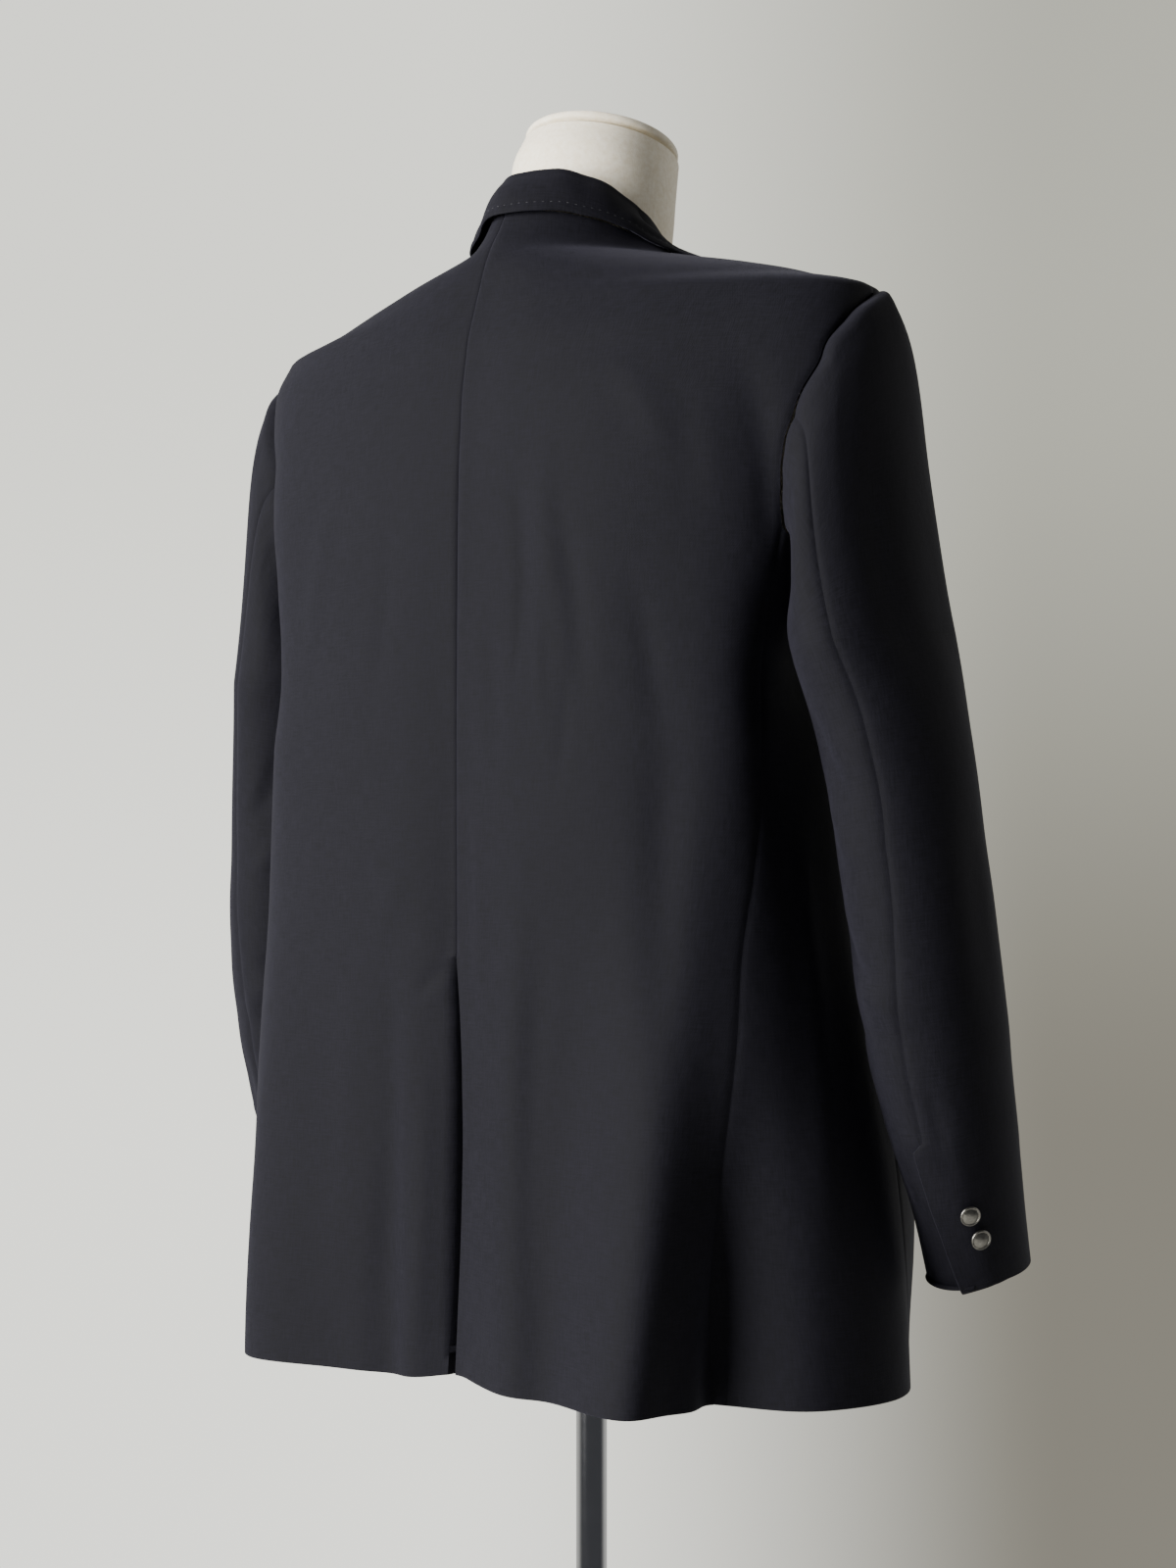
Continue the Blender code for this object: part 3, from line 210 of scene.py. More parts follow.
FORM_ROWS = (
    (0.070, 0.1500, 0.0950, -0.1000, 0.0),
    (0.110, 0.1640, 0.1080, -0.1120, 0.0),
    (0.200, 0.1700, 0.1150, -0.1150, 0.0),
    (0.320, 0.1520, 0.0960, -0.1050, 0.0),
    (0.420, 0.1350, 0.0860, -0.0960, 0.0),
    (0.500, 0.1430, 0.0960, -0.1050, 0.0),
    (0.580, 0.1580, 0.1100, -0.1130, 0.0),
    (0.640, 0.1680, 0.1150, -0.1060, 0.0),
    (0.700, 0.1760, 0.1060, -0.0850, 0.0),
    (0.728, 0.1700, 0.0980, -0.0700, 0.0),
    (0.742, 0.1420, 0.0860, -0.0620, 0.0),
    (0.754, 0.1050, 0.0760, -0.0550, 0.0),
    (0.765, 0.0690, 0.0650, -0.0520, 0.0),
    (0.785, 0.0615, 0.0600, -0.0540, 0.0),
    (0.820, 0.0605, 0.0590, -0.0600, 4.0),
    (0.845, 0.0600, 0.0580, -0.0640, 9.0),
    (0.8685, 0.0570, 0.0450, -0.0690, 13.8),
)

# ---- creases placed one by one --------------------------------------------------------------
# Each runs from one angle and height to another on the body, bowed sideways by bow metres. width
# is its half width and depth is outward, both in metres; fade is the share of its length over
# which each end dies away.
CREASE_COLUMNS = ("angle_a", "h_a", "angle_b", "h_b", "bow", "width", "depth", "fade")
CREASE_ROWS = (
    # right back
    (-21.0, 0.640, -27.0, 0.470, 0.006, 0.0100, -0.0016, 0.45),
    (-30.0, 0.655, -36.0, 0.500, -0.005, 0.0130, 0.0014, 0.45),
    (-34.0, 0.620, -42.0, 0.420, 0.008, 0.0100, -0.0017, 0.45),
    (-12.0, 0.560, -17.0, 0.360, 0.004, 0.0120, -0.0010, 0.45),
    (-25.0, 0.400, -20.0, 0.120, 0.006, 0.0180, 0.0016, 0.45),
    (-33.0, 0.330, -30.0, 0.020, -0.004, 0.0150, -0.0016, 0.30),
    (-8.0, 0.420, -11.0, 0.250, 0.003, 0.0100, 0.0009, 0.45),
    (-44.0, 0.700, -58.0, 0.610, 0.010, 0.0110, 0.0016, 0.45),
    (-50.0, 0.560, -56.0, 0.420, 0.006, 0.0090, -0.0018, 0.45),
    (-57.5, 0.500, -54.0, 0.180, 0.002, 0.0130, -0.0036, 0.40),
    (-67.0, 0.700, -73.5, 0.545, 0.002, 0.0075, -0.0034, 0.40),
    (-61.0, 0.690, -66.0, 0.560, 0.002, 0.0090, 0.0014, 0.45),
    (-24.0, 0.560, -22.0, 0.450, 0.004, 0.0060, -0.0009, 0.45),
    (-30.0, 0.545, -33.0, 0.420, -0.003, 0.0060, 0.0008, 0.45),
    (-38.0, 0.500, -35.0, 0.390, 0.004, 0.0065, -0.0009, 0.45),
    # left back
    (2.5, 0.296, 17.0, 0.262, 0.006, 0.0050, -0.0010, 0.40),
    (4.0, 0.285, 14.0, 0.250, 0.004, 0.0070, 0.0007, 0.40),
    (12.0, 0.300, 27.0, 0.300, -0.006, 0.0100, -0.0008, 0.45),
    (16.0, 0.345, 31.0, 0.335, 0.006, 0.0110, 0.0007, 0.45),
    (24.0, 0.330, 28.0, 0.010, 0.006, 0.0150, -0.0016, 0.30),
    (36.0, 0.300, 39.0, 0.010, -0.004, 0.0150, 0.0012, 0.30),
    (12.0, 0.230, 13.0, 0.010, 0.004, 0.0140, 0.0008, 0.30),
    (25.0, 0.620, 33.0, 0.420, 0.006, 0.0120, -0.0012, 0.45),
    (42.0, 0.640, 52.0, 0.480, -0.008, 0.0100, 0.0014, 0.45),
    # sides and fronts
    (-84.0, 0.400, -80.0, 0.060, 0.004, 0.0110, 0.0020, 0.35),
    (-98.0, 0.480, -101.0, 0.120, 0.004, 0.0120, -0.0018, 0.35),
    (84.0, 0.420, 82.0, 0.040, -0.004, 0.0110, 0.0018, 0.35),
    (98.0, 0.500, 100.0, 0.200, 0.004, 0.0120, -0.0016, 0.35),
    (-118.0, 0.640, -128.0, 0.440, 0.008, 0.0120, -0.0022, 0.40),
    (-112.0, 0.330, -120.0, 0.020, 0.006, 0.0160, 0.0024, 0.30),
    (-131.0, 0.300, -134.0, 0.010, 0.004, 0.0140, -0.0020, 0.30),
    (-150.0, 0.386, -168.0, 0.380, 0.004, 0.0080, 0.0012, 0.45),
    (118.0, 0.650, 127.0, 0.430, 0.008, 0.0120, -0.0020, 0.40),
    (114.0, 0.350, 122.0, 0.020, -0.006, 0.0160, 0.0022, 0.30),
    (133.0, 0.310, 136.0, 0.010, -0.004, 0.0140, -0.0022, 0.30),
)
# The same for the sleeves: bearing 0 is behind, 90 on the outer side, 180 in front.
SLEEVE_CREASE_COLUMNS = ("bearing_a", "h_a", "bearing_b", "h_b", "bow", "width", "depth", "fade")
SLEEVE_CREASE_ROWS = (
    (-52.0, 0.470, -18.0, 0.390, 0.006, 0.0090, -0.0024, 0.40),
    (-60.0, 0.420, -14.0, 0.350, 0.008, 0.0080, 0.0020, 0.40),
    (-70.0, 0.330, -8.0, 0.275, 0.008, 0.0090, -0.0028, 0.40),
    (-50.0, 0.285, 10.0, 0.250, -0.006, 0.0090, 0.0022, 0.40),
    (-100.0, 0.300, -40.0, 0.240, 0.006, 0.0090, -0.0024, 0.40),
    (150.0, 0.330, 200.0, 0.290, 0.008, 0.0100, -0.0026, 0.40),
    (140.0, 0.290, 205.0, 0.270, -0.006, 0.0090, 0.0018, 0.40),
    (45.0, 0.620, 62.0, 0.440, 0.006, 0.0120, -0.0020, 0.40),
    (110.0, 0.600, 120.0, 0.430, 0.006, 0.0120, 0.0018, 0.40),
    (75.0, 0.400, 90.0, 0.240, 0.006, 0.0140, -0.0014, 0.40),
    (20.0, 0.230, 26.0, 0.140, 0.003, 0.0070, -0.0012, 0.40),
    (-30.0, 0.200, -20.0, 0.110, 0.004, 0.0080, 0.0012, 0.40),
)

# The right back's edge is drawn away from the vent by the opening at each height.
VENT_DRAW = 0.034        # width of the panel that follows the edge
VENT_COLUMNS = ("height", "opening")
VENT_ROWS = (
    (0.000, 0.0052),
    (0.040, 0.0064),
    (0.140, 0.0086),
    (0.200, 0.0070),
    (0.235, 0.0050),
    (0.270, 0.0018),
    (0.288, 0.0),
)


# ---- reading the tables ---------------------------------------------------------------------
def monotone(knots, values, at):
    """Cubic through the knots that never overshoots them."""
    knots = np.asarray(knots, float)
    values = np.asarray(values, float)
    at = np.clip(np.asarray(at, float), knots[0], knots[-1])
    step = np.diff(knots)
    slope = np.diff(values) / step
    tangent = np.zeros(len(knots))
    tangent[0] = slope[0]
    tangent[-1] = slope[-1]
    for k in range(1, len(knots) - 1):
        if slope[k - 1] * slope[k] > 0:
            tangent[k] = 2 * slope[k - 1] * slope[k] / (slope[k - 1] + slope[k])
    cell = np.clip(np.searchsorted(knots, at) - 1, 0, len(knots) - 2)
    t = (at - knots[cell]) / step[cell]
    low = values[cell] + tangent[cell] * step[cell] * t
    high = values[cell + 1] - tangent[cell + 1] * step[cell] * (1 - t)
    blend = t * t * (3 - 2 * t)
    return low * (1 - blend) + high * blend


def read(columns, rows, column, at):
    """One named column of a table, read at any place along its first column."""
    ordered = sorted(rows)
    place = columns.index(column)
    return monotone([row[0] for row in ordered], [row[place] for row in ordered], at)


def body(column, height):
    return read(BODY_COLUMNS, BODY_ROWS, column, height)


def ease(value):
    value = np.clip(value, 0.0, 1.0)
    return value * value * (3 - 2 * value)


# ---- the body's surface ---------------------------------------------------------------------
def fold_depth(angle, height):
    """How far the large folds push the cloth outward."""
    angle = (angle + 180.0) % 360.0 - 180.0
    depth = np.zeros(np.shape(angle))
    for row in FOLD_ROWS:
        fold = dict(zip(FOLD_COLUMNS, row))
        along = np.clip((height - max(fold["low"], 0)) / (fold["high"] - max(fold["low"], 0)), 0, 1)
        middle = fold["low_angle"] + (fold["high_angle"] - fold["low_angle"]) * along
        rise = ease((height - fold["low"]) / (fold["peak"] - fold["low"]))
        fall = ease((fold["high"] - height) / (fold["high"] - fold["peak"]))
        depth = depth + fold["depth"] * rise * fall * np.exp(-((angle - middle) / fold["width"]) ** 2)
    return depth


def ring_radius(angle, height):
    """Reach of the body's ring from its centre in one direction."""
    turn = np.radians(angle)
    side = np.abs(np.sin(turn)) / body("half_width", height)
    behind = np.cos(turn) > 0
    centre = body("centre", height)
    depth = np.where(behind, body("back", height) - centre, centre - body("front", height))
    power = np.where(behind, body("back_power", height), body("front_power", height))
    along = np.abs(np.cos(turn)) / depth
    return (side ** power + along ** power) ** (-1 / power) + fold_depth(angle, height)


def shoulder_drop(x, height):
    """How far the left shoulder hangs below the right one."""
    return LEFT_DROP * ease((x - 0.02) / 0.17) * ease((height - 0.45) / 0.20)


def neck_pull(x, height):
    """How far the left half of the neck is drawn toward the centre."""
    return NECK_PULL * ease(x / 0.045) * ease((height - 0.745) / 0.050)


def body_point(angle, height):
    """Outer face of the cloth at an angle from centre back and a height above the hem."""
    angle, height = np.broadcast_arrays(np.asarray(angle, float), np.asarray(height, float))
    radius = ring_radius(angle, height)
    turn = np.radians(angle)
    x = radius * np.sin(turn)
    y = body("centre", height) + radius * np.cos(turn)
    kick = HEM_KICK * np.exp(-((angle + 3.0) / 12.0) ** 2) * ease((0.100 - height) / 0.100)
    z = height + HEM_Z - shoulder_drop(x, height) + kick
    return np.stack([x - neck_pull(x, height) + HANG_SHIFT[0], y + HANG_SHIFT[1], z], axis=-1)


def body_normal(angle, height):
    """Outward direction of the cloth."""
    turn_step, rise_step = 1.5, 0.006
    around = body_point(angle + turn_step, height) - body_point(angle - turn_step, height)
    upward = body_point(angle, height + rise_step) - body_point(angle, height - rise_step)
    normal = np.cross(upward, around)
    return normal / np.linalg.norm(normal, axis=-1, keepdims=True)


def armhole_angle(column, height):
    return read(ARMHOLE_COLUMNS, ARMHOLE_ROWS, column, height)


def outer_edge(heights, seam, armhole):
    """Angle of a panel's outer edge: a side seam, then the armhole."""
    low = read(SEAM_COLUMNS, SEAM_ROWS, seam, heights)
    return np.where(heights <= ARMHOLE_SIDE_H, low, armhole_angle(armhole, heights))


def gap_angle(angle, height):
    """Half of the seam gap as an angle."""
    return np.degrees(0.5 * SEAM_GAP / ring_radius(angle, height))


def neck_height(angle):
    """Height of the neckline behind the shoulder seams."""
    return NECK_SIDE_H + (NECK_BACK_H - NECK_SIDE_H) * np.cos(np.radians(angle))


def front_angle(offset, height):
    """Angle on the front where the cloth is this far from the centre, plus to its own side."""
    half = body("half_width", height)
    centre = body("centre", height)
    power = body("front_power", height)
    depth = centre - body("front", height)
    along = depth * (1 - np.minimum(np.abs(offset) / half, 0.999) ** power) ** (1 / power)
    return 180.0 - np.degrees(np.arctan2(offset, along))


def front_edge_angle(heights):
    """Angle of the front's free edge, and above the break of its roll line."""
    roll = read(ROLL_COLUMNS, ROLL_ROWS, "offset", heights)
    return front_angle(np.where(heights < BREAK_H, -FRONT_LAP, roll), heights)


def front_lift(angles, side):
    """The left front lies under the right one where they lap."""
    return (UNDER_LIFT if side == "left" else OVER_LIFT) * ease((angles - 142.0) / 14.0)


# ---- small relief ---------------------------------------------------------------------------
BODY_MEAN_R = 0.205      # turns an angle into a length along the cloth
SLEEVE_MEAN_R = 0.052
rng = np.random.RandomState(11)
LATTICE = rng.uniform(-1.0, 1.0, (64, 64))


def soft_noise(u, v):
    """Smooth unevenness between -1 and 1, one swell for each unit of u and v."""
    u, v = np.broadcast_arrays(u, v)
    cell_u = np.floor(u).astype(int)
    cell_v = np.floor(v).astype(int)
    blend_u = ease(u - cell_u)
    blend_v = ease(v - cell_v)
    total = np.zeros(u.shape)
    for du, wu in ((0, 1 - blend_u), (1, blend_u)):
        for dv, wv in ((0, 1 - blend_v), (1, blend_v)):
            total = total + LATTICE[(cell_u + du) % 64, (cell_v + dv) % 64] * wu * wv
    return total


def strokes(columns, rows, mean_radius, angle, height):
    """Sum of the listed creases at each point."""
    x = np.radians(angle) * mean_radius
    relief = np.zeros(np.shape(x))
    for row in rows:
        at = dict(zip(columns, row))
        start = np.array([math.radians(at[columns[0]]) * mean_radius, at["h_a"]])
        end = np.array([math.radians(at[columns[2]]) * mean_radius, at["h_b"]])
        run = end - start
        length = np.linalg.norm(run)
        run = run / length
        along = ((x - start[0]) * run[0] + (height - start[1]) * run[1]) / length
        off = (x - start[0]) * run[1] - (height - start[1]) * run[0]
        inside = np.clip(along, 0.0, 1.0)
        off = off - at["bow"] * np.sin(math.pi * inside)
        beyond = (along - inside) * length
        strength = ease(inside / at["fade"]) * ease((1 - inside) / at["fade"])
        shape = np.exp(-(off / at["width"]) ** 2 - (beyond / at["width"]) ** 2)
        relief = relief + at["depth"] * strength * shape
    return relief


def body_relief(angle, height):
    """Creases and soft unevenness of the body's cloth, outward."""
    angle = (angle + 180.0) % 360.0 - 180.0
    creases = strokes(CREASE_COLUMNS, CREASE_ROWS, BODY_MEAN_R, angle, height)
    x = np.radians(angle) * BODY_MEAN_R
    low = soft_noise(x / 0.075 + 9.0, height / 0.190 + 3.0) * 0.00085
    fine = soft_noise(x / 0.030 + 21.0, height / 0.060 + 7.0) * 0.00022
    calm = ease((0.79 - height) / 0.06)
    return creases + (low + fine) * calm


def sleeve_relief(bearing, height):
    creases = strokes(SLEEVE_CREASE_COLUMNS, SLEEVE_CREASE_ROWS, SLEEVE_MEAN_R, bearing, height)
    x = np.radians(bearing) * SLEEVE_MEAN_R
    return creases + soft_noise(x / 0.040 + 31.0, height / 0.110 + 5.0) * 0.0008


# ---- making sheets of cloth -----------------------------------------------------------------
SEAM_DIP = 0.0009        # how deep a seam draws the cloth in
SEAM_ROLL = 0.0028       # and over what distance


def crowded(count, near_start, near_end, length):
    """Places from 0 to 1, closer together beside a seam or a folded edge."""
    close = np.array([0.0, 0.0006, 0.0013, 0.0022, 0.0034, 0.0050, 0.0075]) / length
    places = list(np.linspace(0.0, 1.0, count))
    if near_start:
        places = [p for p in places if p > close[-1] * 1.2] + list(close)
    if near_end:
        places = [p for p in places if p < 1 - close[-1] * 1.2] + list(1 - close)
    return np.unique(np.round(places, 7))


def run_length(points, axis):
    """Length along the grid's rows or columns, from the start, at each point."""
    steps = np.linalg.norm(np.diff(points, axis=axis), axis=-1)
    pad = [(0, 0), (0, 0)]
    pad[axis] = (1, 0)
    return np.pad(np.cumsum(steps, axis=axis), pad)


def seam_dip(distance, depth=SEAM_DIP, roll=SEAM_ROLL):
    return -depth * np.exp(-(distance / roll) ** 1.5)


def mesh_object(name, points, faces, uvs, finish):
    mesh = bpy.data.meshes.new(name)
    mesh.from_pydata([tuple(p) for p in points], [], faces)
    layer = mesh.uv_layers.new(name="cloth")
    corners = np.empty(len(mesh.loops), dtype=np.int32)
    mesh.loops.foreach_get("vertex_index", corners)
    layer.data.foreach_set("uv", np.asarray(uvs, np.float32)[corners].ravel())
    mesh.materials.append(finish)
    mesh.shade_smooth()
    mesh.set_sharp_from_angle(angle=math.radians(62))
    made = bpy.data.objects.new(name, mesh)
    bpy.context.scene.collection.objects.link(made)
    return made


def sheet_mesh(name, outer, inner, uv, finish, bulge=(0.0, 0.0, 0.0, 0.0)):
    """A closed sheet from its outer and inner grids. bulge rounds the first row's edge, the last
    row's, the first column's and the last column's, as a share of the thickness."""
    rows, columns = outer.shape[:2]
    count = rows * columns
    grid = np.arange(count).reshape(rows, columns)
    border = ([(0, c, 1, c, bulge[0]) for c in range(columns - 1)]
              + [(r, columns - 1, r, columns - 2, bulge[3]) for r in range(rows - 1)]
              + [(rows - 1, c, rows - 2, c, bulge[1]) for c in range(columns - 1, 0, -1)]
              + [(r, 0, r, 1, bulge[2]) for r in range(rows - 1, 0, -1)])
    rim = []
    rim_uv = []
    for r, c, nr, nc, swell in border:
        middle = 0.5 * (outer[r, c] + inner[r, c])
        away = outer[r, c] - outer[nr, nc]
        size = np.linalg.norm(away)
        away = away / size if size > 1e-9 else away
        rim.append(middle + away * swell * CLOTH)
        rim_uv.append(uv[r, c])
    points = np.concatenate([outer.reshape(-1, 3), inner.reshape(-1, 3), np.array(rim)])
    uvs = np.concatenate([uv.reshape(-1, 2), uv.reshape(-1, 2), np.array(rim_uv)])
    a = grid[:-1, :-1].ravel()
    b = grid[:-1, 1:].ravel()
    c = grid[1:, 1:].ravel()
    d = grid[1:, :-1].ravel()
    normal = np.cross(outer[rows // 2, columns // 2 + 1] - outer[rows // 2, columns // 2],
                      outer[rows // 2 + 1, columns // 2] - outer[rows // 2, columns // 2])
    flip = normal.dot(outer[rows // 2, columns // 2] - inner[rows // 2, columns // 2]) < 0
    front = np.stack([a, b, c, d], axis=1)
    back = np.stack([a, d, c, b], axis=1) + count
    loop = [r * columns + c for r, c, *_ in border]
    first = 2 * count
    edge = []
    for k in range(len(loop)):
        n = (k + 1) % len(loop)
        edge.append((loop[n], loop[k], first + k, first + n))
        edge.append((first + n, first + k, loop[k] + count, loop[n] + count))
    faces = np.concatenate([front, back, np.array(edge)])
    if flip:
        faces = faces[:, ::-1]
    return mesh_object(name, points, faces.tolist(), uvs, finish)


def stand_for(piece, node):
    """Puts a piece in a node's place."""
    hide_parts(node)
    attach(piece, "root")


def dress(piece, node):
    """Puts a sheet in a node's place."""
    stand_for(piece, node)


def metre_uv(outer, mirror=1.0):
    """Cloth coordinates in metres, the grain along the columns."""
    middle = outer.shape[1] // 2
    across = run_length(outer, 1)
    across = across - across[:, middle:middle + 1]
    down = run_length(outer, 0)[:, middle:middle + 1] + np.zeros_like(across)
    return np.stack([across * mirror, down], axis=-1)


# ---- the body's panels ----------------------------------------------------------------------
def panel_rows(extra):
    """Row heights: close together at the hem and at any other place named."""
    rows = list(np.arange(0.0, SHOULDER_H, 0.0048)) + [SHOULDER_H]
    rows += [0.0006, 0.0013, 0.0022, 0.0034]
    for place in extra:
        rows += list(place + np.array([-0.0030, -0.0012, 0.0, 0.0012, 0.0030]))
    rows = np.unique(np.round(rows, 5))
    keep = np.concatenate([[True], np.diff(rows) > 0.0004])
    return rows[keep]


TOP_STEPS = 26           # rows from the shoulder's tip up to the neckline


def back_grid(share, rows):
    """Angles, before mirroring, and heights of a back panel."""
    edge = outer_edge(rows, "back_seam", "back_edge")
    edge = np.concatenate([edge, np.full(TOP_STEPS, 90.0)])
    rows = np.concatenate([rows, np.full(TOP_STEPS, SHOULDER_H)])
    edge = edge - gap_angle(edge, rows)
    middle = gap_angle(0.0, rows)
    angles = middle[:, None] + (edge - middle)[:, None] * share[None, :]
    levels = np.repeat(rows[:, None], len(share), axis=1)
    for step in range(TOP_STEPS):
        rise = (step + 1) / TOP_STEPS
        levels[len(rows) - TOP_STEPS + step] = SHOULDER_H + (neck_height(angles[-1]) - SHOULDER_H) * rise
    return angles, levels


def offset_sheet(angles, levels, offset):
    normal = body_normal(angles, levels)
    outer = body_point(angles, levels) + normal * offset[..., None]
    return outer, outer - normal * CLOTH


def make_panel(node, angles, levels, offset, mirror, finish, bulge):
    """A body panel from its angles, heights and offsets outward."""
    outer, inner = offset_sheet(angles, levels, offset)
    piece = sheet_mesh("sheet_" + node, outer, inner, metre_uv(outer, mirror), finish, bulge)
    dress(piece, node)


def make_back(side, finish):
    sign = 1.0 if side == "left" else -1.0
    share = crowded(76, True, True, 0.25)
    if side == "left":
        turned_columns = [np.linspace(start, end, count) / 0.25 for start, end, count in VENT_CROWD]
        share = np.unique(np.concatenate([share, *turned_columns]))
        share = share[np.concatenate([[True], np.diff(share) > 0.0002])]
    angles, levels = back_grid(share, panel_rows([VENT_TOP_H]))
    base = body_point(sign * angles, levels)
    across = run_length(base, 1)
    to_seam = across[:, -1:] - across
    offset = body_relief(sign * angles, levels) * ease(across / 0.008 + 0.25)
    offset = offset + seam_dip(to_seam)
    above_vent = ease((levels - VENT_TOP_H + 0.004) / 0.008)
    if side == "right":
        # pressed edge: it stands up crisply beside the centre seam and is the vent's upper edge
        offset = offset + 0.0003 * np.exp(-((across - 0.0045) / 0.0050) ** 2)
        offset = offset + seam_dip(across, 0.0008, 0.0011) * above_vent
        opened = read(VENT_COLUMNS, VENT_ROWS, "opening", np.clip(levels, 0.0, VENT_ROWS[-1][0]))
        angles = angles + np.degrees(opened / BACK_R) * ease((VENT_DRAW - across) / VENT_DRAW)
    else:
        soft = -0.0010 * np.exp(-(across / 0.0110) ** 1.4) + seam_dip(across, 0.0012, 0.0014)
        below = 1 - above_vent
        lap = ease((VENT_LAP_REACH - across) / VENT_LAP_REACH)
        lap = lap * ease((VENT_TOP_H - 0.0005 - levels) / 0.004)
        angles = angles - VENT_LAP_ANGLE * lap
        # the left panel turns in beside the right one's edge and runs on under it
        place = np.radians(angles) * BACK_R
        lower = ease((VENT_TOP_H + 0.001 - levels) / 0.014)
        place = place + VENT_CLOSE * ease((VENT_CLOSE_H - levels) / VENT_CLOSE_H)
        tuck = -(CLOTH + VENT_GAP) * ease((VENT_TUCK - place) / 0.0022) * below
        rolled = np.clip((VENT_ROLL - place) / (VENT_ROLL - VENT_ROLL_END), 0.0, 1.0) ** 2.6
        wall = ease((VENT_WALL - place) / 0.0012) * lower
        away = ease((place + 0.022) / 0.012)
        hollow = -(VENT_ROLL_DEPTH * rolled * lower + VENT_HOLLOW * wall) * away
        angles = angles + math.degrees(VENT_UNDERCUT / BACK_R) * wall
        offset = offset + soft * above_vent + tuck + hollow
    make_panel("back_" + side, sign * angles, levels, offset, sign, finish, (0.35, 0.0, 0.2, 0.0))


def armhole_low(angle):
    """Height of the armhole's lower edge, over the side panel."""
    back, front = SIDE_TOP_ANGLES
    off = (2.0 * angle - back - front) / (front - back)
    return ARMHOLE_LOW_H + (ARMHOLE_SIDE_H - ARMHOLE_LOW_H) * off ** 2


ALLOWANCE = 0.0055       # the side panel's seam allowance under its neighbours
ALLOWANCE_GAP = 0.0004   # clear space between the allowance and its neighbour
SIDE_STEADY_H = 0.49     # above this height its rows follow the armhole


def make_side(side, finish):
    sign = 1.0 if side == "left" else -1.0
    rows = panel_rows([])
    rows = rows[rows <= ARMHOLE_SIDE_H]
    start = outer_edge(rows, "back_seam", "back_edge")
    end = outer_edge(rows, "front_seam", "front_edge")
    start = start + gap_angle(start, rows)
    end = end - gap_angle(end, rows)
    share = crowded(44, True, True, 0.15)
    turned_in = np.array([ALLOWANCE, 0.0006]) / 0.15
    share = np.concatenate([-turned_in, share, 1.0 + turned_in[::-1]])
    angles = start[:, None] + (end - start)[:, None] * share[None, :]
    levels = np.repeat(rows[:, None], len(share), axis=1)
    top = np.minimum(armhole_low(angles[-1]), ARMHOLE_SIDE_H)
    stretch = np.clip((levels - SIDE_STEADY_H) / (rows[-1] - SIDE_STEADY_H), 0, 1)
    stretched = SIDE_STEADY_H + (top[None, :] - SIDE_STEADY_H) * stretch
    levels = np.where(levels > SIDE_STEADY_H, stretched, levels)
    across = run_length(body_point(sign * angles, levels), 1)
    from_back = np.abs(across - across[:, 2:3])
    from_front = np.abs(across[:, -3:-2] - across)
    offset = body_relief(sign * angles, levels) + seam_dip(from_back) + seam_dip(from_front)
    # the seam allowances lie under the neighbouring panels
    offset = offset - (CLOTH + ALLOWANCE_GAP) * ((share < -1e-6) | (share > 1 + 1e-6))
    make_panel("side_" + side, sign * angles, levels, offset, sign, finish, (0.35, 0.0, 0.0, 0.0))


CORNER_TURN = 13.0       # the front's upper corner is cut back by this angle
CORNER_H = 0.766         # from this height on


def make_front(side, finish):
    sign = 1.0 if side == "left" else -1.0
    rows = panel_rows([])
    high = SHOULDER_H + (NECK_SIDE_H - SHOULDER_H) * np.linspace(0, 1, TOP_STEPS + 1)[1:]
    rows = np.concatenate([rows, high])
    edge = outer_edge(np.minimum(rows, SHOULDER_H), "front_seam", "front_edge")
    edge = edge + gap_angle(edge, rows)
    free = front_edge_angle(np.minimum(rows, ROLL_ROWS[-1][0]))
    free = free - CORNER_TURN * ease((rows - CORNER_H) / (NECK_SIDE_H - CORNER_H))
    share = crowded(72, True, True, 0.27)
    angles = edge[:, None] + (free - edge)[:, None] * share[None, :]
    levels = np.repeat(rows[:, None], len(share), axis=1)
    across = run_length(body_point(sign * angles, levels), 1)
    to_edge = across[:, -1:] - across
    still = 1 - 0.8 * ease((angles - 150.0) / 14.0)
    offset = body_relief(sign * angles, levels) * still + seam_dip(across)
    offset = offset + front_lift(angles, side) + pressed_edge(to_edge)
    make_panel("front_" + side, sign * angles, levels, offset, -sign, finish,
               (0.35, 0.0, 0.0, 0.35))


EDGE_STITCH_IN = 0.0055  # row of stitches this far inside a folded edge


def pressed_edge(distance):
    """A folded edge swells a little, and its row of stitches draws it in."""
    swell = 0.0004 * np.exp(-((distance - 0.0025) / 0.0018) ** 2)
    return swell - 0.00035 * np.exp(-((distance - EDGE_STITCH_IN) / 0.0012) ** 2)


# ---- sleeves --------------------------------------------------------------------------------
TOP_CORNER = len(ARMHOLE_ROWS) - 1
FRONT_LOW_CORNER = 2 * TOP_CORNER
LOOP_CORNERS = FRONT_LOW_CORNER + 6
SEAM_BACK_CORNER = 3.0
SEAM_FRONT_CORNER = 11.0


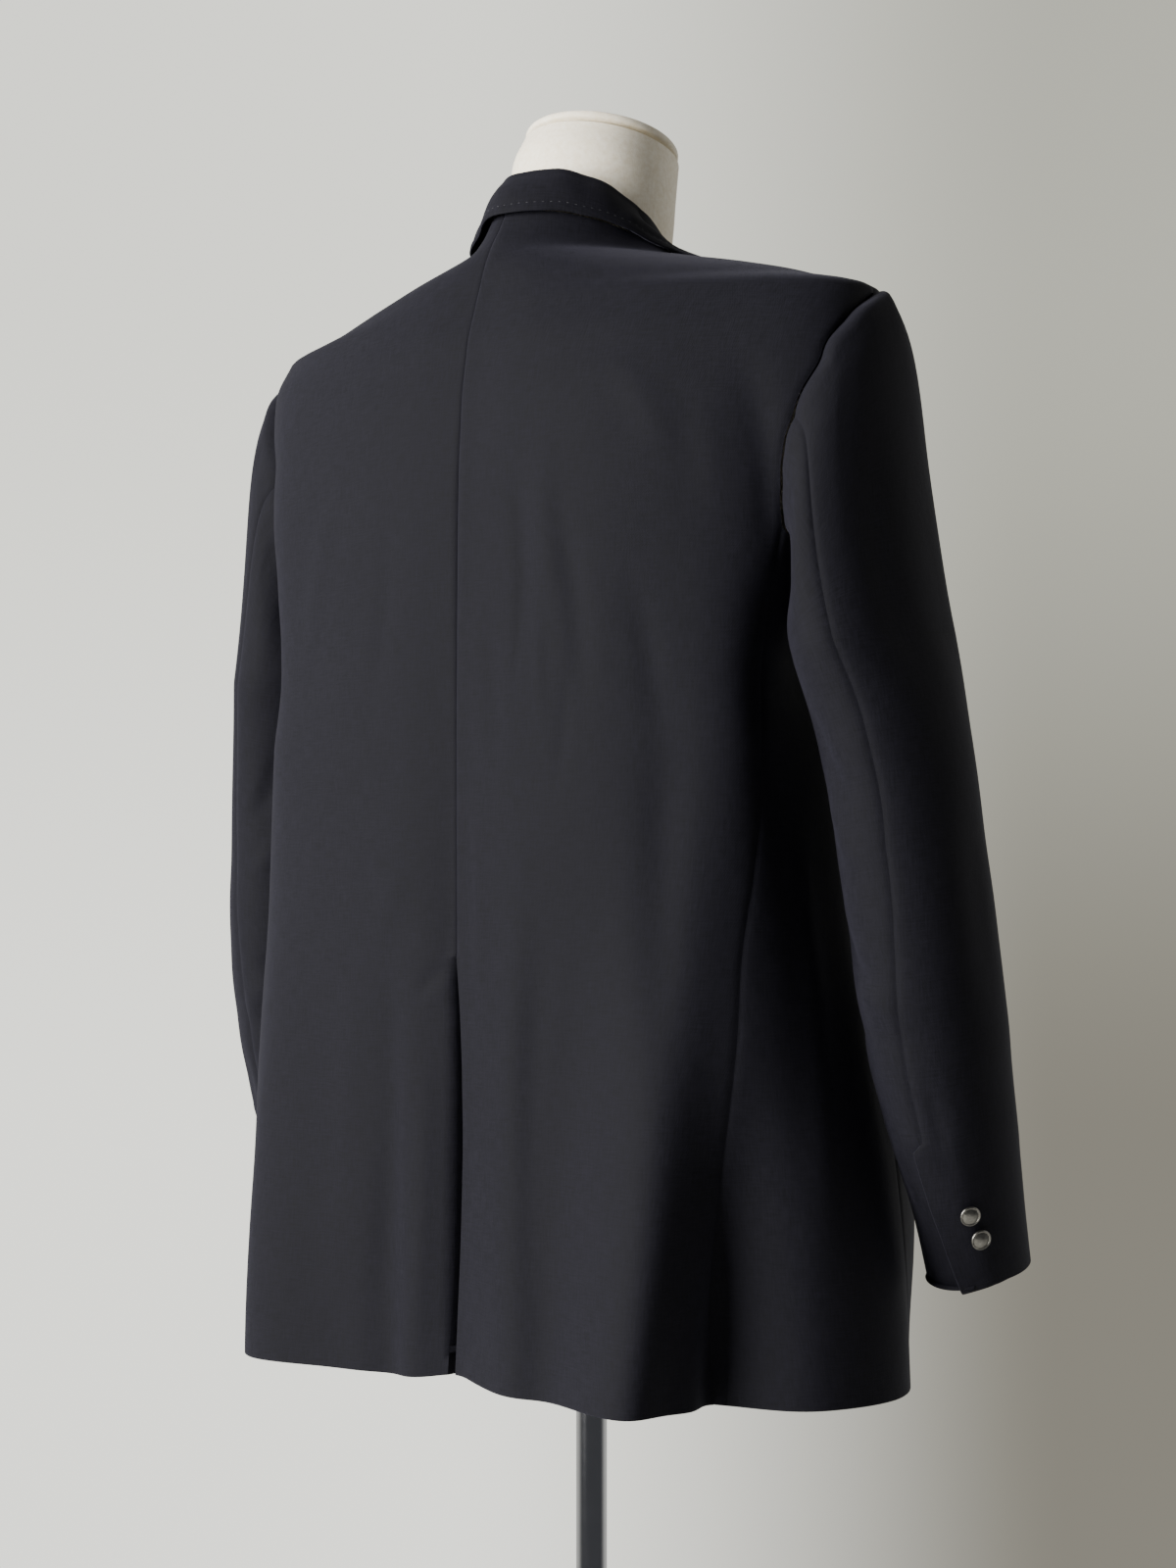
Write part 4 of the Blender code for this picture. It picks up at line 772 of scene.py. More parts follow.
def loop_place(corner):
    """Angle and height of the armhole at a corner number: up the back, down the front and back
    along the side panel."""
    corner = np.asarray(corner, float) % LOOP_CORNERS
    heights = [row[0] for row in ARMHOLE_ROWS]
    up = np.interp(corner, range(TOP_CORNER + 1), heights)
    down = np.interp(corner, range(TOP_CORNER, FRONT_LOW_CORNER + 1), heights[::-1])
    span = LOOP_CORNERS - FRONT_LOW_CORNER
    back, front = SIDE_TOP_ANGLES
    low_angle = front - (front - back) * np.clip((corner - FRONT_LOW_CORNER) / span, 0, 1)
    angle = np.where(corner <= TOP_CORNER, armhole_angle("back_edge", up),
                     np.where(corner <= FRONT_LOW_CORNER, armhole_angle("front_edge", down), low_angle))
    height = np.where(corner <= TOP_CORNER, up,
                      np.where(corner <= FRONT_LOW_CORNER, down, armhole_low(low_angle)))
    return angle, height


def loop_points(corner, inset, sign):
    """Armhole points on one side, as if on the left, moved into the opening by the inset."""
    angle, height = loop_place(corner)
    points = body_point(sign * angle, height)
    points[:, 0] *= sign
    middle = np.array([0.0, ARMHOLE_MIDDLE[0], ARMHOLE_MIDDLE[1] + HEM_Z])
    inward = middle - points
    inward[:, 0] = 0.0
    inward /= np.linalg.norm(inward, axis=1, keepdims=True)
    return points + inward * inset


def loop_bearings(points):
    back = (points[:, 1] - ARMHOLE_MIDDLE[0]) / ARMHOLE_REACH[0]
    up = (points[:, 2] - HEM_Z - ARMHOLE_MIDDLE[1]) / ARMHOLE_REACH[1]
    return np.degrees(np.arctan2(up, back))


def sleeve(column, height):
    return read(SLEEVE_COLUMNS, SLEEVE_ROWS, column, height)


def sleeve_hang(sign):
    """How far a sleeve hangs from its place in the table: inward, forward and down."""
    inward = sign * (SLEEVE_SWAY - HANG_SHIFT[0])
    return np.array([inward, -HANG_SHIFT[1], LEFT_DROP if sign > 0 else 0.0])


def sleeve_middle(height):
    return np.array([float(sleeve("x", height)), float(sleeve("y", height)), height + HEM_Z])


def sleeve_ring(bearings, height, raised=0.0):
    """A ring square to the sleeve, moved outward by raised."""
    step = 0.004
    along = sleeve_middle(height - step) - sleeve_middle(height + step)
    along /= np.linalg.norm(along)
    behind = np.array([0.0, 1.0, 0.0])
    behind = behind - along * along.dot(behind)
    behind /= np.linalg.norm(behind)
    outward = np.cross(behind, along)
    outward *= np.sign(outward[0])
    turn = np.radians(bearings + float(sleeve("twist", height)))
    width = sleeve("half_width", height) + raised
    depth = sleeve("half_depth", height) + raised
    return (sleeve_middle(height) + np.outer(np.sin(turn) * width, outward)
            + np.outer(np.cos(turn) * depth, behind))


CAP_STEPS = 34
CAP_FULLNESS = (0.025, 0.014)        # how far the cap runs out from the armhole, and more on top
CAP_DRAW = 0.62                      # share of the cap that follows the sleeve's line
CAP_SWELL = 0.0060                   # the cap's swell over the outer arm
TUBE_TOP_H = 0.50
# the tube's rows, closer together at the cuff's edge
TUBE_ROWS = np.concatenate([np.linspace(TUBE_TOP_H, CUFF_H + 0.0050, 92),
                            CUFF_H + np.array([0.0034, 0.0022, 0.0013, 0.0006, 0.0])])


def sleeve_surface(corners, raised, sign):
    """Points of a sleeve, rows down its length; raised is an outward offset for each point."""
    start = loop_points(corners, SEAM_GAP, sign)
    bearings = loop_bearings(loop_points(corners, 0.0, -1.0))
    drop = sleeve_hang(sign)
    ring = sleeve_ring(bearings, TUBE_TOP_H) - drop
    upward = sleeve_middle(TUBE_TOP_H) - sleeve_middle(TUBE_TOP_H - 0.035)
    upward /= np.linalg.norm(upward)
    topness = np.sin(np.radians(bearings))
    leave = np.stack([np.ones(len(corners)), 0.35 * np.cos(np.radians(bearings)),
                      -0.35 + 0.30 * topness], axis=1)
    leave /= np.linalg.norm(leave, axis=1, keepdims=True)
    reach = np.linalg.norm(start - ring, axis=1)
    first = start + leave * (CAP_FULLNESS[0] + CAP_FULLNESS[1] * topness)[:, None]
    second = ring + upward * (CAP_DRAW * reach)[:, None]
    second[:, 0] += CAP_SWELL * np.maximum(topness, 0.0)
    rows = []
    shares = np.linspace(0.0, 1.0, CAP_STEPS + 1)[:-1] ** 1.35
    for s in shares:
        rows.append(start * (1 - s) ** 3 + first * 3 * s * (1 - s) ** 2
                    + second * 3 * s * s * (1 - s) + ring * s ** 3)
    rows += [sleeve_ring(bearings, height) - drop for height in TUBE_ROWS]
    points = np.array(rows)
    down = np.gradient(points, axis=0)
    around = np.gradient(points, axis=1)
    normal = np.cross(around, down)
    normal /= np.maximum(np.linalg.norm(normal, axis=-1, keepdims=True), 1e-9)
    middle = sleeve_middle(TUBE_TOP_H) * np.array([1.0, 1.0, 0.0])
    outwardness = ((points - middle)[..., :2] * normal[..., :2]).sum(-1)
    normal *= np.sign(np.median(outwardness))
    points = points + normal * raised[..., None]
    inner = points - normal * CLOTH
    for grid in (points, inner):
        grid[..., 0] *= sign
    return points, inner


def sleeve_heights():
    """Height above the hem of each row, the cap's rows as a share of the way to the shoulder."""
    cap = SHOULDER_H - (SHOULDER_H - TUBE_TOP_H) * (np.linspace(0.0, 1.0, CAP_STEPS + 1)[:-1] ** 1.35)
    return np.concatenate([cap, TUBE_ROWS])


def make_sleeve_part(name, corners, sign, finish, over):
    heights = sleeve_heights()[:, None]
    bearings = loop_bearings(loop_points(corners, 0.0, -1.0))[None, :]
    bearings = np.where(bearings < -160, bearings + 360, bearings)
    flat = np.zeros((heights.shape[0], corners.size))
    plain, _ = sleeve_surface(corners, flat, sign)
    across = run_length(plain, 1)
    down = run_length(plain, 0)
    to_end = across[:, -1:] - across
    raised = sleeve_relief(bearings, heights) * ease((SHOULDER_H - heights) / 0.06 + 0.15)
    raised = raised + seam_dip(down, 0.0012, 0.0040)
    roll = 0.0022 * np.exp(-((down - 0.010) / 0.0065) ** 2) * ease((bearings + 10) / 60.0)
    raised = raised + roll * ease((190.0 - bearings) / 60.0)
    vent = ease((CUFF_VENT_H - heights) / 0.006)
    if over:
        raised = raised + seam_dip(across) * (1 - vent) + seam_dip(to_end)
        raised = raised + 0.0021 * vent * ease((0.030 - across) / 0.020)
    else:
        raised = raised + seam_dip(to_end) * (1 - vent) + seam_dip(across)
        raised = raised - 0.0012 * vent * ease((0.030 - to_end) / 0.020)
    outer, inner = sleeve_surface(corners, raised, sign)
    if over:
        # the topsleeve's edge runs on over the undersleeve along the cuff's opening
        side = outer[:, 0] - outer[:, 3]
        side /= np.linalg.norm(side, axis=1, keepdims=True)
        push = (0.0075 * vent * np.exp(-(across / 0.012) ** 2))[..., None] * side[:, None, :]
        outer = outer + push
        inner = inner + push
    piece = sheet_mesh("sheet_" + name, outer, inner, metre_uv(outer, sign), finish,
                       (0.0, 0.35, 0.3 if over else 0.0, 0.0))
    dress(piece, name)


def make_sleeve(side, finish):
    sign = 1.0 if side == "left" else -1.0
    share = crowded(76, True, True, 0.24)
    top = SEAM_BACK_CORNER + (SEAM_FRONT_CORNER - SEAM_BACK_CORNER) * share
    end = SEAM_BACK_CORNER + LOOP_CORNERS
    under = SEAM_FRONT_CORNER + (end - SEAM_FRONT_CORNER) * share
    make_sleeve_part("topsleeve_" + side, top, sign, finish, True)
    make_sleeve_part("undersleeve_" + side, under, sign, finish, False)


# ---- collar and lapels ----------------------------------------------------------------------
def neck_surface(sign):
    """Points and outward directions of the cloth that the collar lies on."""
    angles, heights = np.meshgrid(np.arange(0.0, 166.0, 1.5), np.arange(0.690, 0.809, 0.003))
    behind = (angles <= 90.0) & (heights <= neck_height(angles))
    before = (angles > 90.0) & (heights <= NECK_SIDE_H)
    before &= angles <= front_edge_angle(np.minimum(heights, ROLL_ROWS[-1][0]))
    kept = behind | before
    angles = angles[kept]
    heights = heights[kept]
    normal = body_normal(sign * angles, heights)
    lift = front_lift(angles, "left" if sign > 0 else "right")
    return body_point(sign * angles, heights) + normal * lift[:, None], normal


def clear_of(surface, point, clearance):
    """The point moved outward until it is the clearance above the surface."""
    places, normals = surface
    nearest = np.argsort(np.linalg.norm(places - point, axis=1))[:6]
    for place, normal in zip(places[nearest], normals[nearest]):
        short = max(clearance - (point - place).dot(normal), 0.0)
        beside = 1.0 - ease((point[2] - place[2] - 0.004) / 0.010)
        point = point + normal * short * beside
    return point


FALL_SHARES = np.array([0.0, 0.015, 0.04, 0.07, 0.11, 0.16, 0.22, 0.30, 0.40, 0.50, 0.60, 0.70, 0.80,
                        0.90, 1.0])
TURN_ANGLES = np.linspace(0.15, math.pi - 0.15, 9)[1:]
STAND_SHARES = np.linspace(0.0, 1.0, 10)[1:]


def collar_section(step, sign, surface):
    """The collar's outer face at one step: up the fall, over the fold and down the stand."""
    at = {name: float(read(COLLAR_COLUMNS, COLLAR_ROWS, name, step)) for name in COLLAR_COLUMNS}
    side = "left" if sign > 0 else "right"
    mirror = np.array([sign, 1.0, 1.0])
    sag = FOLD_DROP * ease(step / 1.5) * (1.0 - ease((step - 2.5) / 1.5)) if side == "left" else 0.0
    edge_h = at["edge_h"] - sag * EDGE_SAG
    edge = body_point(sign * at["edge_angle"], edge_h)
    lift = COLLAR_LIFT - END_SINK * ease((step - 3.4) / 1.0)
    edge = edge + body_normal(sign * at["edge_angle"], edge_h) * lift
    neckline = body_point(sign * at["stand_angle"], at["stand_h"])
    normal = body_normal(sign * at["stand_angle"], at["stand_h"])
    fold = np.array([at["fold_x"], at["fold_y"], at["fold_h"] + HEM_Z]) * mirror
    fold[0] -= neck_pull(fold[0], at["fold_h"]) * (1.0 - ease((step - 2.0) / 1.5))
    fold[2] -= sag
    fold[:2] *= 1.0 - FOLD_DRAW * sag / FOLD_DROP
    fold[:2] += HANG_SHIFT
    level = normal * np.array([1.0, 1.0, 0.0])
    level = level / np.linalg.norm(level)
    stand = neckline - normal * CLOTH - level * STAND_TUCK * ease((step - 4.0) / 0.8)
    stand[2] += STAND_RISE * (1.0 - 0.5 * ease((step - 3.4) / 1.0))
    under = None
    along_roll = float(ease(step - 5.0))
    if along_roll > 0.0:
        roll_angle = float(front_edge_angle(np.array(at["stand_h"])))
        rim = body_point(sign * roll_angle, at["stand_h"])
        square = body_normal(sign * roll_angle, at["stand_h"])
        rim = rim + square * float(front_lift(np.array(roll_angle), side))
        across = body_point(sign * (roll_angle + 2.0), at["stand_h"]) - body_point(
            sign * roll_angle, at["stand_h"])
        across = across / np.linalg.norm(across)
        fold = fold + (rim + across * 0.0070 + square * 0.0040 - fold) * along_roll
        stand = stand + (rim - across * 0.0040 - square * 0.0068 - stand) * along_roll
        under = rim + across * 0.0078 - square * 0.0062
    away = edge - stand
    away[2] = 0.0
    away /= np.linalg.norm(away)
    upward = np.array([0.0, 0.0, 1.0])
    start = fold + away * FOLD_R * math.cos(0.15) + upward * FOLD_R * (math.sin(0.15) - 1)
    fall = []
    for s in FALL_SHARES:
        point = edge + (start - edge) * s + (upward + away) * FALL_BULGE * math.sin(math.pi * s)
        fall.append(clear_of(surface, point, lift) if s < 0.65 else point)
    turn = [fold + away * FOLD_R * math.cos(t) + upward * FOLD_R * (math.sin(t) - 1)
            for t in TURN_ANGLES]
    middle = turn[-1] + (stand - turn[-1]) * 0.45
    if under is not None:
        middle = middle + (under - middle) * along_roll
    inner = []
    for s in STAND_SHARES:
        bend = turn[-1] * (1 - s) ** 2 + (2 * middle - 0.5 * (turn[-1] + stand)) * 2 * s * (1 - s)
        inner.append(bend + stand * s * s)
    return np.array(fall + turn + inner)


def softened(grid, rounds):
    """Evens out a grid of points, its border kept."""
    grid = grid.copy()
    for _ in range(rounds):
        grid[1:-1, 1:-1] = (0.5 * grid[1:-1, 1:-1] + 0.125 * (grid[:-2, 1:-1] + grid[2:, 1:-1]
                            + grid[1:-1, :-2] + grid[1:-1, 2:]))
    return grid


def grid_normals(points):
    normal = np.cross(np.gradient(points, axis=0), np.gradient(points, axis=1))
    return normal / np.maximum(np.linalg.norm(normal, axis=-1, keepdims=True), 1e-12)


def make_collar(finish):
    steps = np.linspace(0.0, COLLAR_ROWS[-1][0], 56)
    surfaces = {sign: neck_surface(sign) for sign in (1.0, -1.0)}
    left = [collar_section(step, 1.0, surfaces[1.0]) for step in steps]
    right = [collar_section(step, -1.0, surfaces[-1.0]) for step in steps[1:]]
    outer = softened(np.array(right[::-1] + left), 2)
    normal = grid_normals(outer)
    normal = normal * np.sign(normal[len(right), 4, 1])
    to_edge = run_length(outer, 1)
    outer = outer + normal * pressed_edge(to_edge)[..., None]
    inner = outer - normal * CLOTH
    piece = sheet_mesh("sheet_collar", outer, inner, metre_uv(outer)[..., ::-1], finish,
                       (0.3, 0.3, 0.35, 0.0))
    dress(piece, "collar")
    return outer, normal


def lapel_surface(side, steps, across):
    """Angles, heights and lift of a lapel's points."""
    last = LAPEL_ROWS[-1][0]
    roll_h = read(LAPEL_COLUMNS, LAPEL_ROWS, "roll_h", steps)
    roll_offset = read(ROLL_COLUMNS, ROLL_ROWS, "offset", roll_h)
    edge_offset = read(LAPEL_COLUMNS, LAPEL_ROWS, "edge_offset", steps)
    edge_h = read(LAPEL_COLUMNS, LAPEL_ROWS, "edge_h", steps)
    offset = roll_offset + (edge_offset - roll_offset) * across
    heights = roll_h + (edge_h - roll_h) * across
    heights = heights - NOTCH_DIP * np.sin(np.pi * across ** 1.3) * (steps / last) ** 10
    angles = front_angle(offset, heights)
    lift = front_lift(angles, side) + CLOTH + LAPEL_GAP
    rolled = 0.0030 * np.exp(-(across / 0.16) ** 2)
    if side == "left":
        rolled = rolled * ease((heights - 0.60) / 0.05)
    return angles, heights, lift + rolled


ROLL_R = 0.0030          # radius of the lapel's roll


def make_lapel(side, finish):
    sign = 1.0 if side == "left" else -1.0
    steps = crowded(96, False, True, 0.30) * LAPEL_ROWS[-1][0]
    across = crowded(34, False, True, 0.09)
    angles, heights, lift = lapel_surface(side, steps[:, None], across[None, :])
    normal = body_normal(sign * angles, heights)
    outer = body_point(sign * angles, heights) + normal * lift[..., None]
    to_edge = run_length(outer, 1)
    to_edge = to_edge[:, -1:] - to_edge
    outer = outer + normal * pressed_edge(to_edge)[..., None]
    opening = outer[:, 0] - outer[:, 1]
    opening /= np.linalg.norm(opening, axis=1, keepdims=True)
    square = normal[:, 0]
    curl = []
    curl_normal = []
    for turn in np.linspace(2.4, 0.3, 8):
        place = outer[:, 0] + opening * (ROLL_R * math.sin(turn)) - square * (
            ROLL_R * (1 - math.cos(turn)))
        curl.append(place)
        curl_normal.append(square * math.cos(turn) + opening * math.sin(turn))
    outer = np.concatenate([np.stack(curl, axis=1), outer], axis=1)
    normal = np.concatenate([np.stack(curl_normal, axis=1), normal], axis=1)
    piece = sheet_mesh("sheet_lapel_" + side, outer, outer - normal * CLOTH * 0.7,
                       metre_uv(outer, -sign), finish, (0.2, 0.35, 0.0, 0.35))
    dress(piece, "lapel_" + side)
    return outer, normal


# ---- stitches -------------------------------------------------------------------------------
STITCH_LENGTH = 0.0022
STITCH_PITCH = 0.0058
STITCH_R = 0.00032


def stitch_row(name, path, normal, finish):
    """A row of small hand stitches along a path of points, sunk a little into the cloth."""
    lengths = np.concatenate([[0.0], np.cumsum(np.linalg.norm(np.diff(path, axis=0), axis=1))])
    sides = 6
    stations = (-1.0, -0.7, 0.0, 0.7, 1.0)
    points = []
    faces = []
    for start in np.arange(0.004, lengths[-1] - 0.004, STITCH_PITCH):
        middle = np.array([np.interp(start, lengths, path[:, k]) for k in range(3)])
        beyond = np.array([np.interp(start + 0.001, lengths, path[:, k]) for k in range(3)])
        up = np.array([np.interp(start, lengths, normal[:, k]) for k in range(3)])
        up /= np.linalg.norm(up)
        run = beyond - middle
        run /= np.linalg.norm(run)
        side = np.cross(run, up)
        first = len(points)
        for station in stations:
            radius = STITCH_R * math.sqrt(max(1 - station ** 4, 0.05))
            sink = -0.0003 * station ** 2
            for k in range(sides):
                turn = 2 * math.pi * k / sides
                points.append(middle + run * (0.5 * STITCH_LENGTH * station)
                              + up * (radius * math.sin(turn) + sink)
                              + side * radius * math.cos(turn))
        for ring in range(len(stations) - 1):
            for k in range(sides):
                n = (k + 1) % sides
                low = first + ring * sides
                faces.append((low + k, low + n, low + sides + n, low + sides + k))
        faces.append(tuple(first + k for k in range(sides))[::-1])
        faces.append(tuple(first + (len(stations) - 1) * sides + k for k in range(sides)))
    uvs = np.zeros((len(points), 2))
    made = mesh_object(name, points, faces, uvs, finish)
    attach(made, "root")
    return made


def path_inside(outer, normal, distance):
    """Points a set distance in from the first column's edge, one for each row."""
    along = run_length(outer, 1)
    path = np.empty((len(outer), 3))
    square = np.empty((len(outer), 3))
    for r in range(len(outer)):
        for k in range(3):
            path[r, k] = np.interp(distance, along[r], outer[r, :, k])
            square[r, k] = np.interp(distance, along[r], normal[r, :, k])
    return path, square


# ---- materials ------------------------------------------------------------------------------
class Tree:
    """Builds a node tree, of a material or of the world."""

    def __init__(self, tree):
        self.tree = tree

    def add(self, kind, **values):
        node = self.tree.nodes.new(kind)
        for key, value in values.items():
            setattr(node, key, value)
        return node

    def link(self, source, target):
        self.tree.links.new(source, target)

    def feed(self, value, socket):
        """Gives a socket a colour, a number or another node's output."""
        if isinstance(value, tuple):
            socket.default_value = (*value, 1.0)
        elif isinstance(value, (int, float)):
            socket.default_value = value
        else:
            self.link(value, socket)

    def mix(self, factor, low, high):
        node = self.add("ShaderNodeMix", data_type="RGBA")
        self.link(factor, node.inputs["Factor"])
        self.feed(low, node.inputs["A"])
        self.feed(high, node.inputs["B"])
        return node.outputs["Result"]

    def ranged(self, factor, start=(0.0, 1.0), end=(0.0, 1.0), curve="LINEAR"):
        """A value carried over from one range to another."""
        node = self.add("ShaderNodeMapRange", interpolation_type=curve)
        for name, pair in (("From", start), ("To", end)):
            node.inputs[name + " Min"].default_value = pair[0]
            node.inputs[name + " Max"].default_value = pair[1]
        self.link(factor, node.inputs["Value"])
        return node.outputs["Result"]


class Nodes(Tree):
    """Builds one material's node tree."""

    def __init__(self, name, roughness, metallic=0.0):
        self.material = bpy.data.materials.new(name)
        self.material.use_nodes = True
        super().__init__(self.material.node_tree)
        self.shader = self.tree.nodes["Principled BSDF"]
        self.steady({"Roughness": roughness, "Metallic": metallic})

    def steady(self, values):
        """Values that are the same all over, on the shader's own sockets."""
        for name, value in values.items():
            self.shader.inputs[name].default_value = value

    def place(self):
        return self.add("ShaderNodeTexCoord").outputs["Object"]

    def noise(self, coordinate, scale, detail=2.0, roughness=0.5):
        node = self.add("ShaderNodeTexNoise")
        node.inputs["Scale"].default_value = scale
        node.inputs["Detail"].default_value = detail
        node.inputs["Roughness"].default_value = roughness
        self.link(coordinate, node.inputs["Vector"])
        return node.outputs["Fac"]

    def streak(self, coordinate, scale):
        """Noise drawn out along one direction of the cloth, as single yarns are."""
        mapping = self.add("ShaderNodeMapping")
        mapping.inputs["Scale"].default_value = scale
        self.link(coordinate, mapping.inputs["Vector"])
        return self.noise(mapping.outputs["Vector"], 1.0, 2.0, 0.6)

    def wave(self, coordinate, scale, turn, distortion=0.0):
        """Bands across the cloth's coordinates, turned by an angle in degrees."""
        mapping = self.add("ShaderNodeMapping")
        mapping.inputs["Rotation"].default_value = (0.0, 0.0, math.radians(turn))
        self.link(coordinate, mapping.inputs["Vector"])
        node = self.add("ShaderNodeTexWave", bands_direction="X")
        node.inputs["Scale"].default_value = scale
        node.inputs["Distortion"].default_value = distortion
        node.inputs["Detail"].default_value = 0.0
        self.link(mapping.outputs["Vector"], node.inputs["Vector"])
        return node.outputs["Fac"]

    def math(self, operation, a, b):
        node = self.add("ShaderNodeMath", operation=operation)
        self.feed(a, node.inputs[0])
        self.feed(b, node.inputs[1])
        return node.outputs["Value"]

    def bump(self, height, distance, strength, under=None):
        node = self.add("ShaderNodeBump")
        node.inputs["Distance"].default_value = distance
        node.inputs["Strength"].default_value = strength
        self.link(height, node.inputs["Height"])
        if under is not None:
            self.link(under, node.inputs["Normal"])
        return node.outputs["Normal"]


def wool():
    """Very dark navy worsted: a fine steep twill with a soft sheen."""
    n = Nodes("navy worsted wool", 0.78)
    uv = n.add("ShaderNodeUVMap", uv_map="cloth").outputs["UV"]
    place = n.place()
    twill = n.wave(uv, 320.0, 28.0, 0.4)
    yarn = n.wave(uv, 420.0, 90.0, 0.6)
    weave = n.math("MULTIPLY", twill, yarn)
    warp = n.streak(uv, (950.0, 75.0, 1.0))
    weft = n.streak(uv, (75.0, 950.0, 1.0))
    slub = n.math("MULTIPLY", n.math("ADD", warp, weft), 0.5)
    cloud = n.noise(place, 22.0, 3.0, 0.6)
    thread = n.mix(weave, (0.0030, 0.0030, 0.0050), (0.0057, 0.0054, 0.0086))
    tone = n.mix(n.ranged(slub, (0.36, 0.64)), thread, (0.0101, 0.0096, 0.0150))
    shade = n.mix(n.ranged(cloud, end=(0.0, 0.28)), tone, (0.0031, 0.0030, 0.0049))
    n.link(shade, n.shader.inputs["Base Color"])
    n.link(n.ranged(slub, end=(0.70, 0.88)), n.shader.inputs["Roughness"])
    n.steady({"Diffuse Roughness": 1.0, "Specular IOR Level": 0.13, "Sheen Weight": 0.055,
              "Sheen Roughness": 0.45, "Sheen Tint": (0.52, 0.51, 0.66, 1.0)})
    rumple = n.bump(n.noise(uv, 46.0, 4.0, 0.62), 0.0016, 0.30)
    fine = n.bump(weave, 0.00025, 0.35, rumple)
    n.link(n.bump(slub, 0.0003, 0.45, fine), n.shader.inputs["Normal"])
    return n.material


def thread():
    """Thread of the edge stitches, a little lighter than the cloth."""
    n = Nodes("navy thread", 0.6)
    place = n.place()
    fleck = n.noise(place, 1800.0)
    n.link(n.mix(fleck, (0.008, 0.008, 0.011), (0.016, 0.016, 0.021)), n.shader.inputs["Base Color"])
    n.steady({"Sheen Weight": 0.08})
    return n.material


def linen():
    """Cream linen cover of the form."""
    n = Nodes("cream linen cover", 0.85)
    place = n.place()
    flat = n.wave(place, 520.0, 0.0, 1.0)
    mapping = n.add("ShaderNodeMapping")
    mapping.inputs["Rotation"].default_value = (0.0, math.radians(90.0), 0.0)
    n.link(place, mapping.inputs["Vector"])
    rise = n.wave(mapping.outputs["Vector"], 520.0, 0.0, 1.0)
    weave = n.math("MULTIPLY", flat, rise)
    slub = n.noise(place, 260.0, 4.0, 0.65)
    cloud = n.noise(place, 18.0, 3.0, 0.6)
    tone = n.mix(n.ranged(slub, (0.30, 0.70)), (0.84, 0.75, 0.56), (0.99, 0.93, 0.78))
    aged = n.mix(n.ranged(cloud, end=(0.0, 0.35)), tone, (0.82, 0.72, 0.54))
    n.link(aged, n.shader.inputs["Base Color"])
    n.steady({"Sheen Weight": 0.30, "Specular IOR Level": 0.2})
    fine = n.bump(weave, 0.0003, 0.3)
    n.link(n.bump(slub, 0.0004, 0.4, fine), n.shader.inputs["Normal"])
    return n.material


def metal(name, low, high, rough_low, rough_high, scale, relief=0.0001):
    n = Nodes(name, rough_low, 1.0)
    place = n.place()
    wear = n.noise(place, scale, 4.0, 0.6)
    n.link(n.mix(wear, low, high), n.shader.inputs["Base Color"])
    n.link(n.ranged(wear, end=(rough_low, rough_high)), n.shader.inputs["Roughness"])
    n.link(n.bump(wear, relief, 0.35), n.shader.inputs["Normal"])
    return n.material


def plain_floor():
    n = Nodes("pale floor", 0.9)
    place = n.place()
    cloud = n.noise(place, 3.0, 3.0, 0.6)
    n.link(n.mix(cloud, (0.66, 0.66, 0.64), (0.70, 0.70, 0.68)), n.shader.inputs["Base Color"])
    return n.material


# ---- turned pieces --------------------------------------------------------------------------
def turned(name, profile, finish, sides, place=None, up=(0.0, 0.0, 1.0)):
    """A turned piece from its profile of radius and height, from the low end to the high end."""
    turn = np.linspace(0.0, 2 * math.pi, sides, endpoint=False)
    points = [np.array([0.0, 0.0, profile[0][1]])]
    rings = []
    for radius, height in profile[1:-1]:
        rings.append(len(points))
        points += [np.array([radius * math.cos(t), radius * math.sin(t), height]) for t in turn]
    points.append(np.array([0.0, 0.0, profile[-1][1]]))
    last = len(points) - 1
    faces = []
    for k in range(sides):
        n = (k + 1) % sides
        faces.append((0, rings[0] + n, rings[0] + k))
        for low, high in zip(rings[:-1], rings[1:]):
            faces.append((low + k, low + n, high + n, high + k))
        faces.append((rings[-1] + k, rings[-1] + n, last))
    made = mesh_object(name, points, faces, np.zeros((len(points), 2)), finish)
    made.data.set_sharp_from_angle(angle=math.radians(35))
    if place is not None:
        turning = Vector(up).to_track_quat("Z", "Y").to_matrix().to_4x4()
        made.data.transform(turning)
        made.data.transform(Matrix.Translation(Vector(place)))
    return made


def rounded(profile, radius, steps=3):
    """The profile with each corner rounded."""
    points = [np.array(p, float) for p in profile]
    smooth = [points[0]]
    for before, corner, after in zip(points[:-2], points[1:-1], points[2:]):
        to_before = before - corner
        to_after = after - corner
        cut = min(radius, 0.45 * np.linalg.norm(to_before), 0.45 * np.linalg.norm(to_after))
        start = corner + to_before / np.linalg.norm(to_before) * cut
        end = corner + to_after / np.linalg.norm(to_after) * cut
        for t in np.linspace(0.0, 1.0, steps + 1):
            smooth.append(start * (1 - t) ** 2 + corner * 2 * t * (1 - t) + end * t * t)
    smooth.append(points[-1])
    return [tuple(p) for p in smooth]


def node_points(node):
    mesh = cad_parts[node].data
    points = np.empty(len(mesh.vertices) * 3, np.float32)
    mesh.vertices.foreach_get("co", points)
    return points.reshape(-1, 3).astype(float)


# A button's profile as shares of its radius: flat back, rim, groove and low dome.
BUTTON_PROFILE = ((0.0, 0.0), (0.78, 0.0), (0.99, 0.09), (1.0, 0.20), (0.95, 0.29), (0.88, 0.31),
                  (0.82, 0.27), (0.79, 0.225), (0.74, 0.235), (0.60, 0.30), (0.42, 0.36),
                  (0.22, 0.40), (0.0, 0.42))


